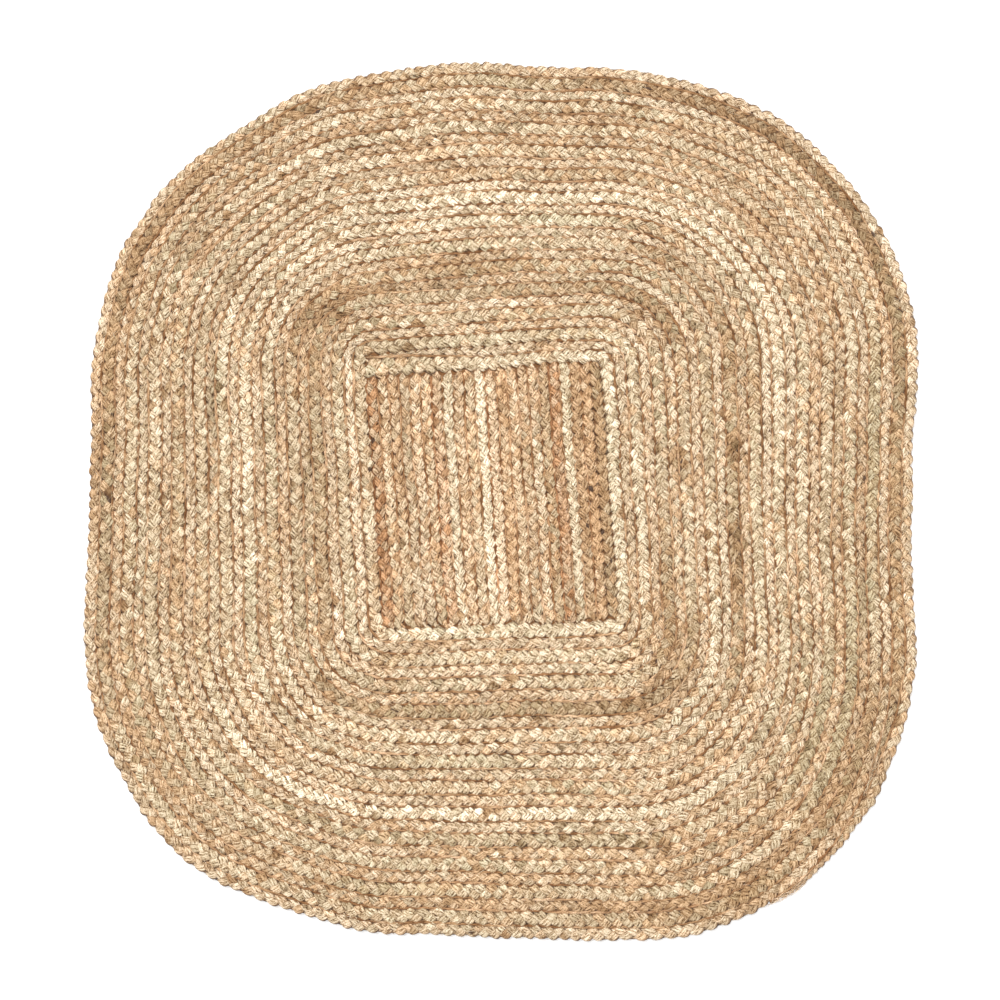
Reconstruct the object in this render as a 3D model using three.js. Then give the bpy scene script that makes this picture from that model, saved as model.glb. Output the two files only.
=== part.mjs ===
// Braided jute rug: straight braids side by side in the middle, and two braids wound round them in pairs.
// Millimetres, Z up. The underside is at Z = 0, and the middle of the outline is at X = 0, Y = 0.
import * as THREE from 'three';

// Every braid
const THICKNESS = 9;
const GAP = 0.4;
const TOP_SHARE = 0.66; // width of the rounded top against the foot

// Centre: braids lying side by side between a front edge and a back edge
const CENTRE_ROWS = 22;
const CENTRE = {
  backLeft: new THREE.Vector2(-141.4, 130.4),
  backRight: new THREE.Vector2(105.3, 148.2),
  frontRight: new THREE.Vector2(124.2, -123.7),
  frontLeft: new THREE.Vector2(-123.6, -133.2),
};
const ROW_END = 1.2; // how far a row stops short of the braid that frames it
const ROW_TUCK = { length: 5, inset: 1.6 }; // its rounded ends

// Colours that the rows of the centre take in turn
const ROW_TONES = ['rust', 'straw', 'straw', 'tan', 'tan', 'straw', 'rust', 'pale', 'tan', 'straw', 'pale'];
const TONES = {
  pale: 0xe3d2ac,
  straw: 0xd6bf93,
  tan: 0xc9a472,
  rust: 0xb98654,
};

// Winding: clockwise from the back left corner, pale braid inside and tan braid outside in each pair
const CORNER_RADIUS = 3; // of the first turn round the centre
const SIDE_STEPS = 2;
const TURN_STEPS = 7;
const FULL_LAPS = 12;
const PALE_SHARE = 0.55; // of the width of a pair
const PALE_START_SHARE = 0.88; // where both begin, the pale braid is wide and the tan one a thin tail
const START_BACK = 2.4; // how far the pale braid's blunt start reaches behind the corner

// Width of a pair along each side, and at the quarters of the turn that follows it
const PAIRS = [
  { side: 'back', start: 24.2, middle: 24.8, end: 23.7, turn: [23.7, 24.5, 25.1] },
  { side: 'right', start: 25.6, middle: 24.5, end: 23.8, turn: [24.9, 26.9, 28.3] },
  { side: 'front', start: 28.1, middle: 27.4, end: 26.7, turn: [26, 26.7, 26.4] },
  { side: 'left', start: 26.2, middle: 24.9, end: 23.9, turn: [23.3, 22.8, 22.8] },
];

// Both braids end in the front right turn, the pale one first, each thinned to a tail
// Steps here are counted from the start of that turn
const ENDING_TURN = 1;
const ENDS = {
  pale: { thinsFrom: 1, stopsAt: 3 },
  tan: { thinsFrom: 3, stopsAt: 5 },
};
const TAIL_WIDTH = 2;

const STEPS_PER_SIDE = SIDE_STEPS + TURN_STEPS;
const STEPS_PER_LAP = PAIRS.length * STEPS_PER_SIDE;
const ENDING_STEP = FULL_LAPS * STEPS_PER_LAP + ENDING_TURN * STEPS_PER_SIDE + SIDE_STEPS;

// Flat direction to the left of a heading, which is outwards for clockwise travel
function leftOf(heading) {
  return new THREE.Vector2(-heading.y, heading.x);
}

function headingOf(from, to) {
  return to.clone().sub(from).normalize();
}

// The point that lies the corner radius inside both lines that meet at a corner
function insetCorner(before, corner, after) {
  const outA = leftOf(headingOf(before, corner));
  const outB = leftOf(headingOf(corner, after));
  const between = outA.clone().add(outB);
  return corner.clone().addScaledVector(between, -CORNER_RADIUS / (1 + outA.dot(outB)));
}

// Lines that the winding is measured from: one for each side, with the direction that faces out from it
function windingSides() {
  const { backLeft, backRight, frontRight, frontLeft } = CENTRE;
  const outBack = leftOf(headingOf(backLeft, backRight));
  const overStart = backLeft.clone().addScaledVector(outBack, PAIRS[0].start);
  const pastStart = overStart.clone().add(backRight).sub(backLeft);
  const turns = [
    insetCorner(backLeft, backRight, frontRight),
    insetCorner(backRight, frontRight, frontLeft),
    insetCorner(frontRight, frontLeft, overStart),
    insetCorner(frontLeft, overStart, pastStart),
  ];
  const start = turns[3].clone().addScaledVector(outBack, -PAIRS[0].start);
  const froms = [start, turns[0], turns[1], turns[2]];
  return PAIRS.map((row, i) => ({
    from: froms[i],
    to: turns[i],
    out: leftOf(headingOf(froms[i], turns[i])),
    widths: row,
  }));
}

const SIDES = windingSides();

function between(values, share) {
  const at = share * (values.length - 1);
  const low = Math.min(Math.floor(at), values.length - 2);
  return THREE.MathUtils.lerp(values[low], values[low + 1], at - low);
}

// One step of the winding: the point it is measured from, the direction outwards and a pair's width there
function stationAt(step) {
  const index = Math.floor(step / STEPS_PER_SIDE) % SIDES.length;
  const side = SIDES[index];
  const next = SIDES[(index + 1) % SIDES.length];
  const along = step % STEPS_PER_SIDE;
  const lap = Math.floor(step / STEPS_PER_LAP);
  const { start, middle, end, turn } = side.widths;
  if (along <= SIDE_STEPS) {
    const share = along / SIDE_STEPS;
    const origin = side.from.clone().lerp(side.to, share);
    return { lap, origin, out: side.out, pair: between([start, middle, end], share) };
  }
  const share = (along - SIDE_STEPS) / TURN_STEPS;
  const angle = share * Math.acos(side.out.dot(next.out));
  const out = side.out.clone().rotateAround(new THREE.Vector2(), -angle);
  return { lap, origin: side.to, out, pair: between([end, ...turn, next.widths.start], share) };
}

// Width of one braid at a step, thinned where its end nears
function thinned(width, step, end) {
  const done = (step - ENDING_STEP - end.thinsFrom) / (end.stopsAt - end.thinsFrom);
  return THREE.MathUtils.lerp(width, TAIL_WIDTH, THREE.MathUtils.clamp(done, 0, 1));
}

// Distances from the winding's lines to both edges of the pale and the tan braid at a step
function edgesAt(step) {
  const { lap, origin, out, pair } = stationAt(step);
  const inner = CORNER_RADIUS + lap * pair;
  const paleShare = step === 0 ? PALE_START_SHARE : PALE_SHARE;
  const pale = step > ENDING_STEP + ENDS.pale.stopsAt ? 0 : thinned(paleShare * pair, step, ENDS.pale);
  const tan = thinned((1 - paleShare) * pair, step, ENDS.tan);
  return { origin, out, pale: [inner, inner + pale], tan: [inner + pale, inner + pale + tan] };
}

// A braid's cross-section: a flat foot and a narrower top, between a right and a left edge
function section(right, left) {
  const inset = (1 - TOP_SHARE) / 2;
  const topRight = right.clone().lerp(left, inset);
  const topLeft = left.clone().lerp(right, inset);
  return [
    new THREE.Vector3(right.x, right.y, 0),
    new THREE.Vector3(left.x, left.y, 0),
    new THREE.Vector3(topLeft.x, topLeft.y, THICKNESS),
    new THREE.Vector3(topRight.x, topRight.y, THICKNESS),
  ];
}

// A closed solid through a run of cross-sections
function loft(sections) {
  const corners = sections[0].length;
  const triangles = [0, 3, 2, 0, 2, 1];
  for (let s = 0; s + 1 < sections.length; s += 1) {
    for (let c = 0; c < corners; c += 1) {
      const here = s * corners + c;
      const beside = s * corners + ((c + 1) % corners);
      triangles.push(here, beside, beside + corners);
      triangles.push(here, beside + corners, here + corners);
    }
  }
  const last = (sections.length - 1) * corners;
  triangles.push(last, last + 1, last + 2, last, last + 2, last + 3);
  const geometry = new THREE.BufferGeometry().setFromPoints(sections.flat());
  geometry.setIndex(triangles);
  geometry.computeVertexNormals();
  return geometry;
}

function braidMesh(name, tone, sections) {
  const material = new THREE.MeshStandardMaterial({ color: TONES[tone], roughness: 0.9, metalness: 0 });
  const mesh = new THREE.Mesh(loft(sections), material);
  mesh.name = name;
  return mesh;
}

// One of the two wound braids, from its start at the back left corner to its tail
function woundBraid(name, tone, startBack) {
  const sections = [];
  for (let step = 0; step <= ENDING_STEP + ENDS[tone].stopsAt; step += 1) {
    const edges = edgesAt(step);
    const back = step === 0 ? startBack : 0;
    const origin = edges.origin.clone().addScaledVector(leftOf(edges.out), back);
    const [near, far] = edges[tone];
    const right = origin.clone().addScaledVector(edges.out, near + GAP / 2);
    const left = origin.clone().addScaledVector(edges.out, far - GAP / 2);
    sections.push(section(right, left));
  }
  return braidMesh(name, tone, sections);
}

// One straight braid of the centre, from the front to the back
function centreRow(index) {
  const { backLeft, backRight, frontRight, frontLeft } = CENTRE;
  const shares = [index + 1, index].map((edge) => edge / CENTRE_ROWS);
  const fronts = shares.map((share) => frontLeft.clone().lerp(frontRight, share));
  const backs = shares.map((share) => backLeft.clone().lerp(backRight, share));
  const length = fronts[0].distanceTo(backs[0]);
  const full = ROW_END + ROW_TUCK.length;
  const cuts = [
    { along: ROW_END, inset: ROW_TUCK.inset },
    { along: full, inset: GAP / 2 },
    { along: length - full, inset: GAP / 2 },
    { along: length - ROW_END, inset: ROW_TUCK.inset },
  ];
  const sections = cuts.map(({ along, inset }) => {
    const [right, left] = fronts.map((front, i) => front.clone().lerp(backs[i], along / length));
    const across = headingOf(right, left);
    return section(right.addScaledVector(across, inset), left.addScaledVector(across, -inset));
  });
  const name = `centre_braid_${String(index + 1).padStart(2, '0')}`;
  return braidMesh(name, ROW_TONES[index % ROW_TONES.length], sections);
}

const rug = new THREE.Group();
for (let index = 0; index < CENTRE_ROWS; index += 1) {
  rug.add(centreRow(index));
}
rug.add(woundBraid('wound_braid_pale', 'pale', START_BACK));
rug.add(woundBraid('wound_braid_tan', 'tan', 0));

export default rug;
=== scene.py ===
"""Braided jute rug, laid flat: its braids, their finishes, the floor, the light and the camera.

Straight braids lie side by side in the middle, and two long ones, pale and tan, are wound round them
in pairs. Every braid is three strands of loose jute fibre. Sizes are in millimetres, and MM turns them
into metres where a mesh is made.
"""

import logging
import math
from dataclasses import dataclass, field
from enum import Enum

import bpy
import numpy as np
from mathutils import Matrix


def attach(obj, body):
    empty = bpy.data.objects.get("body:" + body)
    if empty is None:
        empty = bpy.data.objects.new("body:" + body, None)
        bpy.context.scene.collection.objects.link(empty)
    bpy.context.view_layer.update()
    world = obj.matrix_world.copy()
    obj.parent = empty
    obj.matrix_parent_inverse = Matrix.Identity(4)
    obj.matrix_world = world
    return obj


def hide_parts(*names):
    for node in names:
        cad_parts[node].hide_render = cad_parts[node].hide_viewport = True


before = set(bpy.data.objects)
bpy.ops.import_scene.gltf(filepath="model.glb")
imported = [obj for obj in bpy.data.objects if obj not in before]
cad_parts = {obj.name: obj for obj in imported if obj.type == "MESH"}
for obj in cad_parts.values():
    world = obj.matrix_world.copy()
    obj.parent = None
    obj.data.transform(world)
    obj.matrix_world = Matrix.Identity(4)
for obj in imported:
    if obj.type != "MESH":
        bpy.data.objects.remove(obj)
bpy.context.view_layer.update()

MM = 0.001
BODY = "root"
SEED = 41
PANEL_SEED = 1
WOUND_SEED = 2
UP = np.array([0.0, 0.0, 1.0])

# Every tube's fibre pattern starts at a random place up to this one, so that no two look alike
PATTERN_STARTS = 90

log = logging.getLogger("jute_rug")


class Tone(Enum):
    """Shades of jute, by the record's material slot."""

    PALE = "jute_pale"
    STRAW = "jute_straw"
    TAN = "jute_tan"
    RUST = "jute_rust"


class Mark(Enum):
    """What a marked place does to the fibre there."""

    BARK = "dark brown bark left on the fibre"
    RUST = "orange stain"
    GREY = "weathered grey green"
    SHADE = "browner fibre"
    LIGHT = "bleached fibre"


def srgb(red: int, green: int, blue: int) -> tuple[float, float, float]:
    """Turns a display colour of 0 to 255 into linear values.

    Args:
        red: Red, 0 to 255.
        green: Green, 0 to 255.
        blue: Blue, 0 to 255.

    Returns:
        Linear red, green and blue, 0 to 1.
    """
    shares = (value / 255 for value in (red, green, blue))
    return tuple(c / 12.92 if c <= 0.04045 else ((c + 0.055) / 1.055) ** 2.4 for c in shares)


def unit(vector: np.ndarray) -> np.ndarray:
    """Scales vectors to length one.

    Args:
        vector: One vector, or rows of them.

    Returns:
        The same directions with length one.
    """
    return vector / np.maximum(np.linalg.norm(vector, axis=-1, keepdims=True), 1e-12)


def left_of(heading: np.ndarray) -> np.ndarray:
    """Turns flat headings to their left, which is outwards for clockwise travel.

    Args:
        heading: Flat directions, (..., 2).

    Returns:
        The directions turned by a quarter to the left.
    """
    return np.stack([-heading[..., 1], heading[..., 0]], axis=-1)


def soft_step(values: np.ndarray) -> np.ndarray:
    """Eases values from 0 to 1.

    Args:
        values: Any numbers; those outside 0 to 1 are held at its ends.

    Returns:
        Eased values from 0 to 1.
    """
    share = np.clip(values, 0, 1)
    return share * share * (3 - 2 * share)


def drift(rng: np.random.Generator, along: np.ndarray, spacing: float) -> np.ndarray:
    """Slow random change along a length.

    Args:
        rng: Seeded source of the random values.
        along: Places along the length, in mm, from 0.
        spacing: Distance between independent values, in mm.

    Returns:
        Values of about -1 to 1 at those places.
    """
    count = int(along.max() / spacing) + 3
    knots = rng.uniform(-1, 1, count)
    place = np.clip(along, 0, None) / spacing
    low = np.floor(place).astype(int)
    share = soft_step(place - low)
    return knots[low] * (1 - share) + knots[low + 1] * share


@dataclass(frozen=True)
class Change:
    """A slow random change along a length: its size, and the spacing of its independent values in mm."""

    size: float
    spacing: float

    def at(self, rng: np.random.Generator, along: np.ndarray) -> np.ndarray:
        """Reads the change.

        Args:
            rng: Seeded source of the random values.
            along: Places along the length, in mm, from 0.

        Returns:
            Values within about plus or minus its size.
        """
        return self.size * drift(rng, along, self.spacing)


@dataclass(frozen=True)
class Wander:
    """How far the sewn rows stray from their drawn lines, the same for all that lies at one place.

    Each wave has its height and length in mm, its direction in degrees and its phase. What it moves to the
    back runs at a slightly different pace from what it moves to the right.
    """

    waves: tuple[tuple[float, float, float, float], ...] = (
        (0.55, 168.0, 20.0, 0.4),
        (0.5, 121.0, 78.0, 2.1),
        (0.42, 92.0, 135.0, 4.4),
        (0.34, 67.0, 52.0, 1.2),
        (0.28, 55.0, 163.0, 5.3),
        (0.22, 43.0, 104.0, 3.0),
    )
    cross_pace: float = 1.13
    cross_phase: float = 1.7

    def moved(self, points: np.ndarray) -> np.ndarray:
        """Moves flat points as the rug's unevenness does.

        Args:
            points: Flat places in mm, (n, 2).

        Returns:
            The moved places.
        """
        shift = np.zeros_like(points)
        for height, length, degrees, phase in self.waves:
            angle = math.radians(degrees)
            run = points @ np.array([math.cos(angle), math.sin(angle)])
            turn = 2 * math.pi * run / length + phase
            shift[:, 0] += height * np.sin(turn)
            shift[:, 1] += height * np.cos(turn * self.cross_pace + self.cross_phase)
        return points + shift


@dataclass(frozen=True)
class MarkEffect:
    """What a mark adds to the fibre where it shows fully."""

    warmth: float = 0.0
    brightness: float = 0.0
    grey: float = 0.0
    bark: float = 0.0


MARK_EFFECTS = {
    Mark.BARK: MarkEffect(warmth=0.3, brightness=-0.3, bark=0.3),
    Mark.RUST: MarkEffect(warmth=0.7, brightness=-0.25),
    Mark.GREY: MarkEffect(grey=1.0, brightness=-0.18),
    Mark.SHADE: MarkEffect(warmth=0.35, brightness=-0.26),
    Mark.LIGHT: MarkEffect(warmth=-0.35, brightness=0.12),
}


@dataclass
class Fibre:
    """Shade of the fibre at each ring of a strand."""

    warmth: np.ndarray
    grey: np.ndarray
    brightness: np.ndarray
    bark: np.ndarray

    def add(self, mark: Mark, share: np.ndarray) -> None:
        """Lets a mark show.

        Args:
            mark: The mark.
            share: How strongly it shows at each ring.
        """
        effect = MARK_EFFECTS[mark]
        self.warmth = self.warmth + effect.warmth * share
        self.brightness = self.brightness * (1 + effect.brightness * share)
        self.grey = np.maximum(self.grey, effect.grey * share)
        self.bark = np.maximum(self.bark, effect.bark * share)

    def values(self) -> np.ndarray:
        """Puts the record together.

        Returns:
            Warmth, greyness, brightness and bark, (rings, 4).
        """
        shares = [np.clip(values, 0, 1) for values in (self.warmth, self.grey, self.bark)]
        return np.stack([shares[0], shares[1], self.brightness, shares[2]], axis=1)


@dataclass(frozen=True)
class MarkedPlace:
    """A place on the rug where the fibre differs: a soft ellipse, in mm and degrees.

    The mark shows fully in the inner half of the ellipse, and is gone a third outside it.
    """

    mark: Mark
    x: float
    y: float
    length: float
    breadth: float
    degrees: float = 0.0
    strength: float = 1.0

    PEAK = 1.6
    FADE = 1.2

    def share_at(self, points: np.ndarray) -> np.ndarray:
        """How strongly the mark shows.

        Args:
            points: Flat places in mm, (n, 2).

        Returns:
            Shares from 0 to the mark's strength.
        """
        angle = math.radians(self.degrees)
        offset = points - np.array([self.x, self.y])
        run = offset @ np.array([math.cos(angle), math.sin(angle)]) / (self.length / 2)
        side = offset @ np.array([-math.sin(angle), math.cos(angle)]) / (self.breadth / 2)
        return self.strength * soft_step(self.PEAK - self.FADE * np.hypot(run, side))


# The flecks of bark first, then the patches, with the broadest last
MARKED_PLACES = (
    MarkedPlace(Mark.BARK, -134, 64, 7, 3.5, 75),
    MarkedPlace(Mark.BARK, -138, 34, 5, 3.5, 100),
    MarkedPlace(Mark.BARK, -127, -100, 8, 3, 115),
    MarkedPlace(Mark.BARK, -60, 44, 4, 2.5, 60),
    MarkedPlace(Mark.BARK, -53, -21, 4, 2.5, 60),
    MarkedPlace(Mark.BARK, 95, 14, 7.5, 5.5, 130),
    MarkedPlace(Mark.BARK, 91, -25, 6, 3, 115),
    MarkedPlace(Mark.BARK, 107, -32, 5, 3.5, 70),
    MarkedPlace(Mark.BARK, 116, -62, 6, 2.5, 100),
    MarkedPlace(Mark.BARK, -192, 69, 6, 3, 110),
    MarkedPlace(Mark.BARK, -412, 4, 11, 4, 110),
    MarkedPlace(Mark.BARK, -408, 94, 6, 3, 80),
    MarkedPlace(Mark.BARK, -111, -219, 8, 3.5, -20),
    MarkedPlace(Mark.BARK, 155, 434, 10, 3, -15),
    MarkedPlace(Mark.BARK, -31, -452, 6, 3, 10),
    MarkedPlace(Mark.BARK, -192, 410, 6, 3, 30),
    MarkedPlace(Mark.BARK, 391, 281, 6, 3.5, 120),
    MarkedPlace(Mark.BARK, 190, 43, 6, 3, 75),
    MarkedPlace(Mark.BARK, 163, -168, 7, 3, 70),
    MarkedPlace(Mark.BARK, 382, 25, 5, 3, 90),
    MarkedPlace(Mark.RUST, 188, 44, 34, 17, 95),
    MarkedPlace(Mark.RUST, 245, 57, 30, 17, 80),
    MarkedPlace(Mark.RUST, 219, -35, 10, 6, 80),
    MarkedPlace(Mark.RUST, 251, -37, 60, 10, 88, 0.6),
    MarkedPlace(Mark.SHADE, 188, 46, 22, 12, 95, 0.9),
    MarkedPlace(Mark.SHADE, 245, 57, 22, 12, 80, 0.9),
    MarkedPlace(Mark.SHADE, 250, -60, 110, 12, 92, 0.5),
    MarkedPlace(Mark.RUST, 198, 20, 30, 9, 100, 0.7),
    MarkedPlace(Mark.RUST, 4, 104, 60, 15, 92, 0.6),
    MarkedPlace(Mark.RUST, 77, 95, 70, 11, 94, 0.35),
    MarkedPlace(Mark.RUST, 88, -35, 80, 11, 94, 0.45),
    MarkedPlace(Mark.RUST, -128, -60, 110, 9, 88, 0.4),
    MarkedPlace(Mark.RUST, -205, 3, 60, 12, 90, 0.5),
    MarkedPlace(Mark.RUST, 265, 291, 70, 35, -45, 0.3),
    MarkedPlace(Mark.RUST, 262, -405, 60, 16, 35, 0.5),
    MarkedPlace(Mark.SHADE, -322, 264, 50, 35, 45, 0.6),
    MarkedPlace(Mark.SHADE, -274, 227, 45, 25, 50, 0.6),
    MarkedPlace(Mark.SHADE, -365, 153, 60, 22, 85, 0.5),
    MarkedPlace(Mark.SHADE, -427, 14, 100, 16, 90, 0.6),
    MarkedPlace(Mark.SHADE, 275, -412, 80, 35, 35, 0.5),
    MarkedPlace(Mark.SHADE, 168, -210, 80, 40, 30, 0.5),
    MarkedPlace(Mark.SHADE, 211, -274, 70, 18, 35, 0.5),
    MarkedPlace(Mark.SHADE, -184, 207, 60, 35, 45, 0.4),
    MarkedPlace(Mark.SHADE, -50, 250, 130, 28, 0, 0.35),
    MarkedPlace(Mark.GREY, 382, -103, 70, 24, 80, 0.6),
    MarkedPlace(Mark.GREY, -300, 120, 90, 14, 88, 0.5),
    MarkedPlace(Mark.GREY, 60, 300, 110, 13, 0, 0.5),
    MarkedPlace(Mark.LIGHT, -173, -115, 100, 26, 90, 0.6),
    MarkedPlace(Mark.SHADE, -352, 285, 190, 120, 45, 0.22),
    MarkedPlace(Mark.SHADE, -382, -282, 170, 120, 110, 0.22),
    MarkedPlace(Mark.SHADE, 372, -290, 230, 120, 65, 0.28),
    MarkedPlace(Mark.SHADE, 265, -295, 160, 130, 30, 0.2),
    MarkedPlace(Mark.SHADE, 200, -400, 220, 90, 12, 0.18),
    MarkedPlace(Mark.LIGHT, 271, -54, 150, 110, 90, 0.25),
    MarkedPlace(Mark.LIGHT, -273, 61, 170, 90, 90, 0.25),
)


@dataclass(frozen=True)
class Stretch:
    """A length of a wound braid whose fibre differs, in laps from its start."""

    tone: Tone
    start: float
    end: float
    mark: Mark
    strength: float = 1.0

    EASE = 20

    def share_at(self, laps: np.ndarray) -> np.ndarray:
        """How strongly the stretch shows, eased over a twentieth of a lap at its ends.

        Args:
            laps: Places along the braid, in laps.

        Returns:
            Shares from 0 to the stretch's strength.
        """
        begun = soft_step((laps - self.start) * self.EASE)
        return self.strength * begun * soft_step((self.end - laps) * self.EASE)


STRETCHES = (
    Stretch(Tone.PALE, 0.0, 0.38, Mark.LIGHT, 0.6),
    Stretch(Tone.PALE, 0.4, 0.62, Mark.LIGHT, 0.9),
    Stretch(Tone.PALE, 0.62, 1.0, Mark.LIGHT, 0.45),
    Stretch(Tone.TAN, 0.62, 1.0, Mark.LIGHT, 0.4),
    Stretch(Tone.PALE, 1.0, 1.35, Mark.LIGHT, 0.5),
    Stretch(Tone.PALE, 1.45, 1.6, Mark.LIGHT, 0.4),
    Stretch(Tone.PALE, 2.3, 2.45, Mark.SHADE, 0.8),
    Stretch(Tone.PALE, 2.7, 3.25, Mark.SHADE, 0.6),
    Stretch(Tone.PALE, 3.3, 3.7, Mark.SHADE, 0.8),
    Stretch(Tone.PALE, 3.7, 3.82, Mark.SHADE, 0.35),
    Stretch(Tone.PALE, 3.82, 3.95, Mark.SHADE, 0.85),
    Stretch(Tone.PALE, 3.95, 4.1, Mark.SHADE, 0.4),
    Stretch(Tone.PALE, 4.3, 4.95, Mark.LIGHT, 0.3),
    Stretch(Tone.PALE, 5.1, 5.42, Mark.SHADE, 0.6),
    Stretch(Tone.PALE, 5.65, 6.12, Mark.LIGHT, 0.9),
    Stretch(Tone.PALE, 6.8, 7.3, Mark.LIGHT, 0.8),
    Stretch(Tone.PALE, 7.4, 7.75, Mark.LIGHT, 0.6),
    Stretch(Tone.PALE, 8.1, 8.35, Mark.LIGHT, 0.6),
    Stretch(Tone.PALE, 9.2, 9.32, Mark.LIGHT, 0.4),
    Stretch(Tone.PALE, 9.33, 9.45, Mark.GREY, 0.5),
    Stretch(Tone.PALE, 10.3, 10.45, Mark.GREY, 0.5),
    Stretch(Tone.PALE, 11.22, 11.34, Mark.GREY, 0.5),
    Stretch(Tone.PALE, 11.34, 11.45, Mark.SHADE, 1.0),
    Stretch(Tone.PALE, 11.43, 11.53, Mark.SHADE, 0.35),
    Stretch(Tone.PALE, 11.7, 12.05, Mark.SHADE, 0.8),
    Stretch(Tone.PALE, 12.03, 12.07, Mark.GREY, 1.0),
    Stretch(Tone.PALE, 12.1, 12.25, Mark.BARK, 0.35),
    Stretch(Tone.PALE, 12.05, 12.45, Mark.SHADE, 0.8),
    Stretch(Tone.TAN, 1.85, 2.0, Mark.SHADE, 0.6),
    Stretch(Tone.TAN, 2.1, 2.25, Mark.RUST, 0.3),
    Stretch(Tone.TAN, 2.32, 2.5, Mark.SHADE, 1.0),
    Stretch(Tone.TAN, 2.85, 3.05, Mark.SHADE, 0.8),
    Stretch(Tone.TAN, 4.85, 5.1, Mark.LIGHT, 0.5),
    Stretch(Tone.TAN, 5.9, 6.3, Mark.LIGHT, 0.5),
    Stretch(Tone.TAN, 6.95, 7.3, Mark.LIGHT, 0.5),
    Stretch(Tone.TAN, 8.95, 9.4, Mark.RUST, 0.2),
    Stretch(Tone.TAN, 10.25, 10.75, Mark.SHADE, 0.5),
    Stretch(Tone.TAN, 11.36, 11.45, Mark.SHADE, 0.35),
)


@dataclass(frozen=True)
class Corners:
    """Corners of the centre, in mm."""

    back_left: tuple[float, float] = (-141.4, 130.4)
    back_right: tuple[float, float] = (105.3, 148.2)
    front_right: tuple[float, float] = (124.2, -123.7)
    front_left: tuple[float, float] = (-123.6, -133.2)

    def places(self) -> tuple[np.ndarray, ...]:
        """The back left, back right, front right and front left corner, as flat places."""
        corners = (self.back_left, self.back_right, self.front_right, self.front_left)
        return tuple(np.array(corner) for corner in corners)


@dataclass(frozen=True)
class SideWidths:
    """Width of a pair of braids along one side and at the quarters of the turn after it, in mm."""

    start: float
    middle: float
    end: float
    turn: tuple[float, float, float]


@dataclass(frozen=True)
class Ending:
    """Where a wound braid thins out in the last turn, as shares of that turn."""

    thins_from: float
    stops_at: float

    def done(self, turned: np.ndarray) -> np.ndarray:
        """How far the braid has thinned at shares of the turn, from 0 to 1."""
        return np.clip((turned - self.thins_from) / (self.stops_at - self.thins_from), 0, 1)


@dataclass
class Route:
    """A braid's line on the floor, point by point a millimetre apart."""

    points: np.ndarray
    widths: np.ndarray
    laps: np.ndarray
    along: np.ndarray = field(init=False)
    across: np.ndarray = field(init=False)

    def __post_init__(self) -> None:
        """Works out the distance along the line and the direction to its left."""
        steps = np.linalg.norm(np.diff(self.points, axis=0), axis=1)
        self.along = np.concatenate([[0.0], np.cumsum(steps)])
        self.across = left_of(unit(np.gradient(self.points, axis=0)))

    @property
    def length(self) -> float:
        """Length of the line, in mm."""
        return float(self.along[-1])

    def at(self, along: np.ndarray) -> tuple[np.ndarray, np.ndarray, np.ndarray]:
        """Reads the line at any distance along it.

        Args:
            along: Distances along the line, in mm.

        Returns:
            Flat places, directions to the left, and the braid's widths.
        """
        points = np.stack([np.interp(along, self.along, self.points[:, i]) for i in (0, 1)], axis=1)
        across = np.stack([np.interp(along, self.along, self.across[:, i]) for i in (0, 1)], axis=1)
        return points, unit(across), np.interp(along, self.along, self.widths)


def smooth_route(points: np.ndarray, widths: np.ndarray, laps: np.ndarray, reach: float = 4.0) -> Route:
    """Moves a line as the rug strays, spaces its points a millimetre apart, and rounds its kinks.

    Args:
        points: Flat places in mm, close together.
        widths: Width of the braid at each of them.
        laps: Laps wound up to each of them.
        reach: Distance over which a kink is rounded, in mm.

    Returns:
        The finished route.
    """
    points = Wander().moved(points)
    steps = np.linalg.norm(np.diff(points, axis=0), axis=1)
    along = np.concatenate([[0.0], np.cumsum(steps)])
    even = np.linspace(0, along[-1], int(along[-1]) + 2)
    columns = [np.interp(even, along, column) for column in (points[:, 0], points[:, 1], widths, laps)]
    half = int(3 * reach)
    bell = np.exp(-0.5 * (np.arange(-half, half + 1) / reach) ** 2)
    bell /= bell.sum()
    rounded = []
    for column in columns:
        ahead = 2 * column[-1] - column[-2 : -half - 2 : -1]
        behind = 2 * column[0] - column[half:0:-1]
        rounded.append(np.convolve(np.concatenate([behind, column, ahead]), bell, mode="valid"))
    return Route(np.stack(rounded[:2], axis=1), *rounded[2:])


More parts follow.
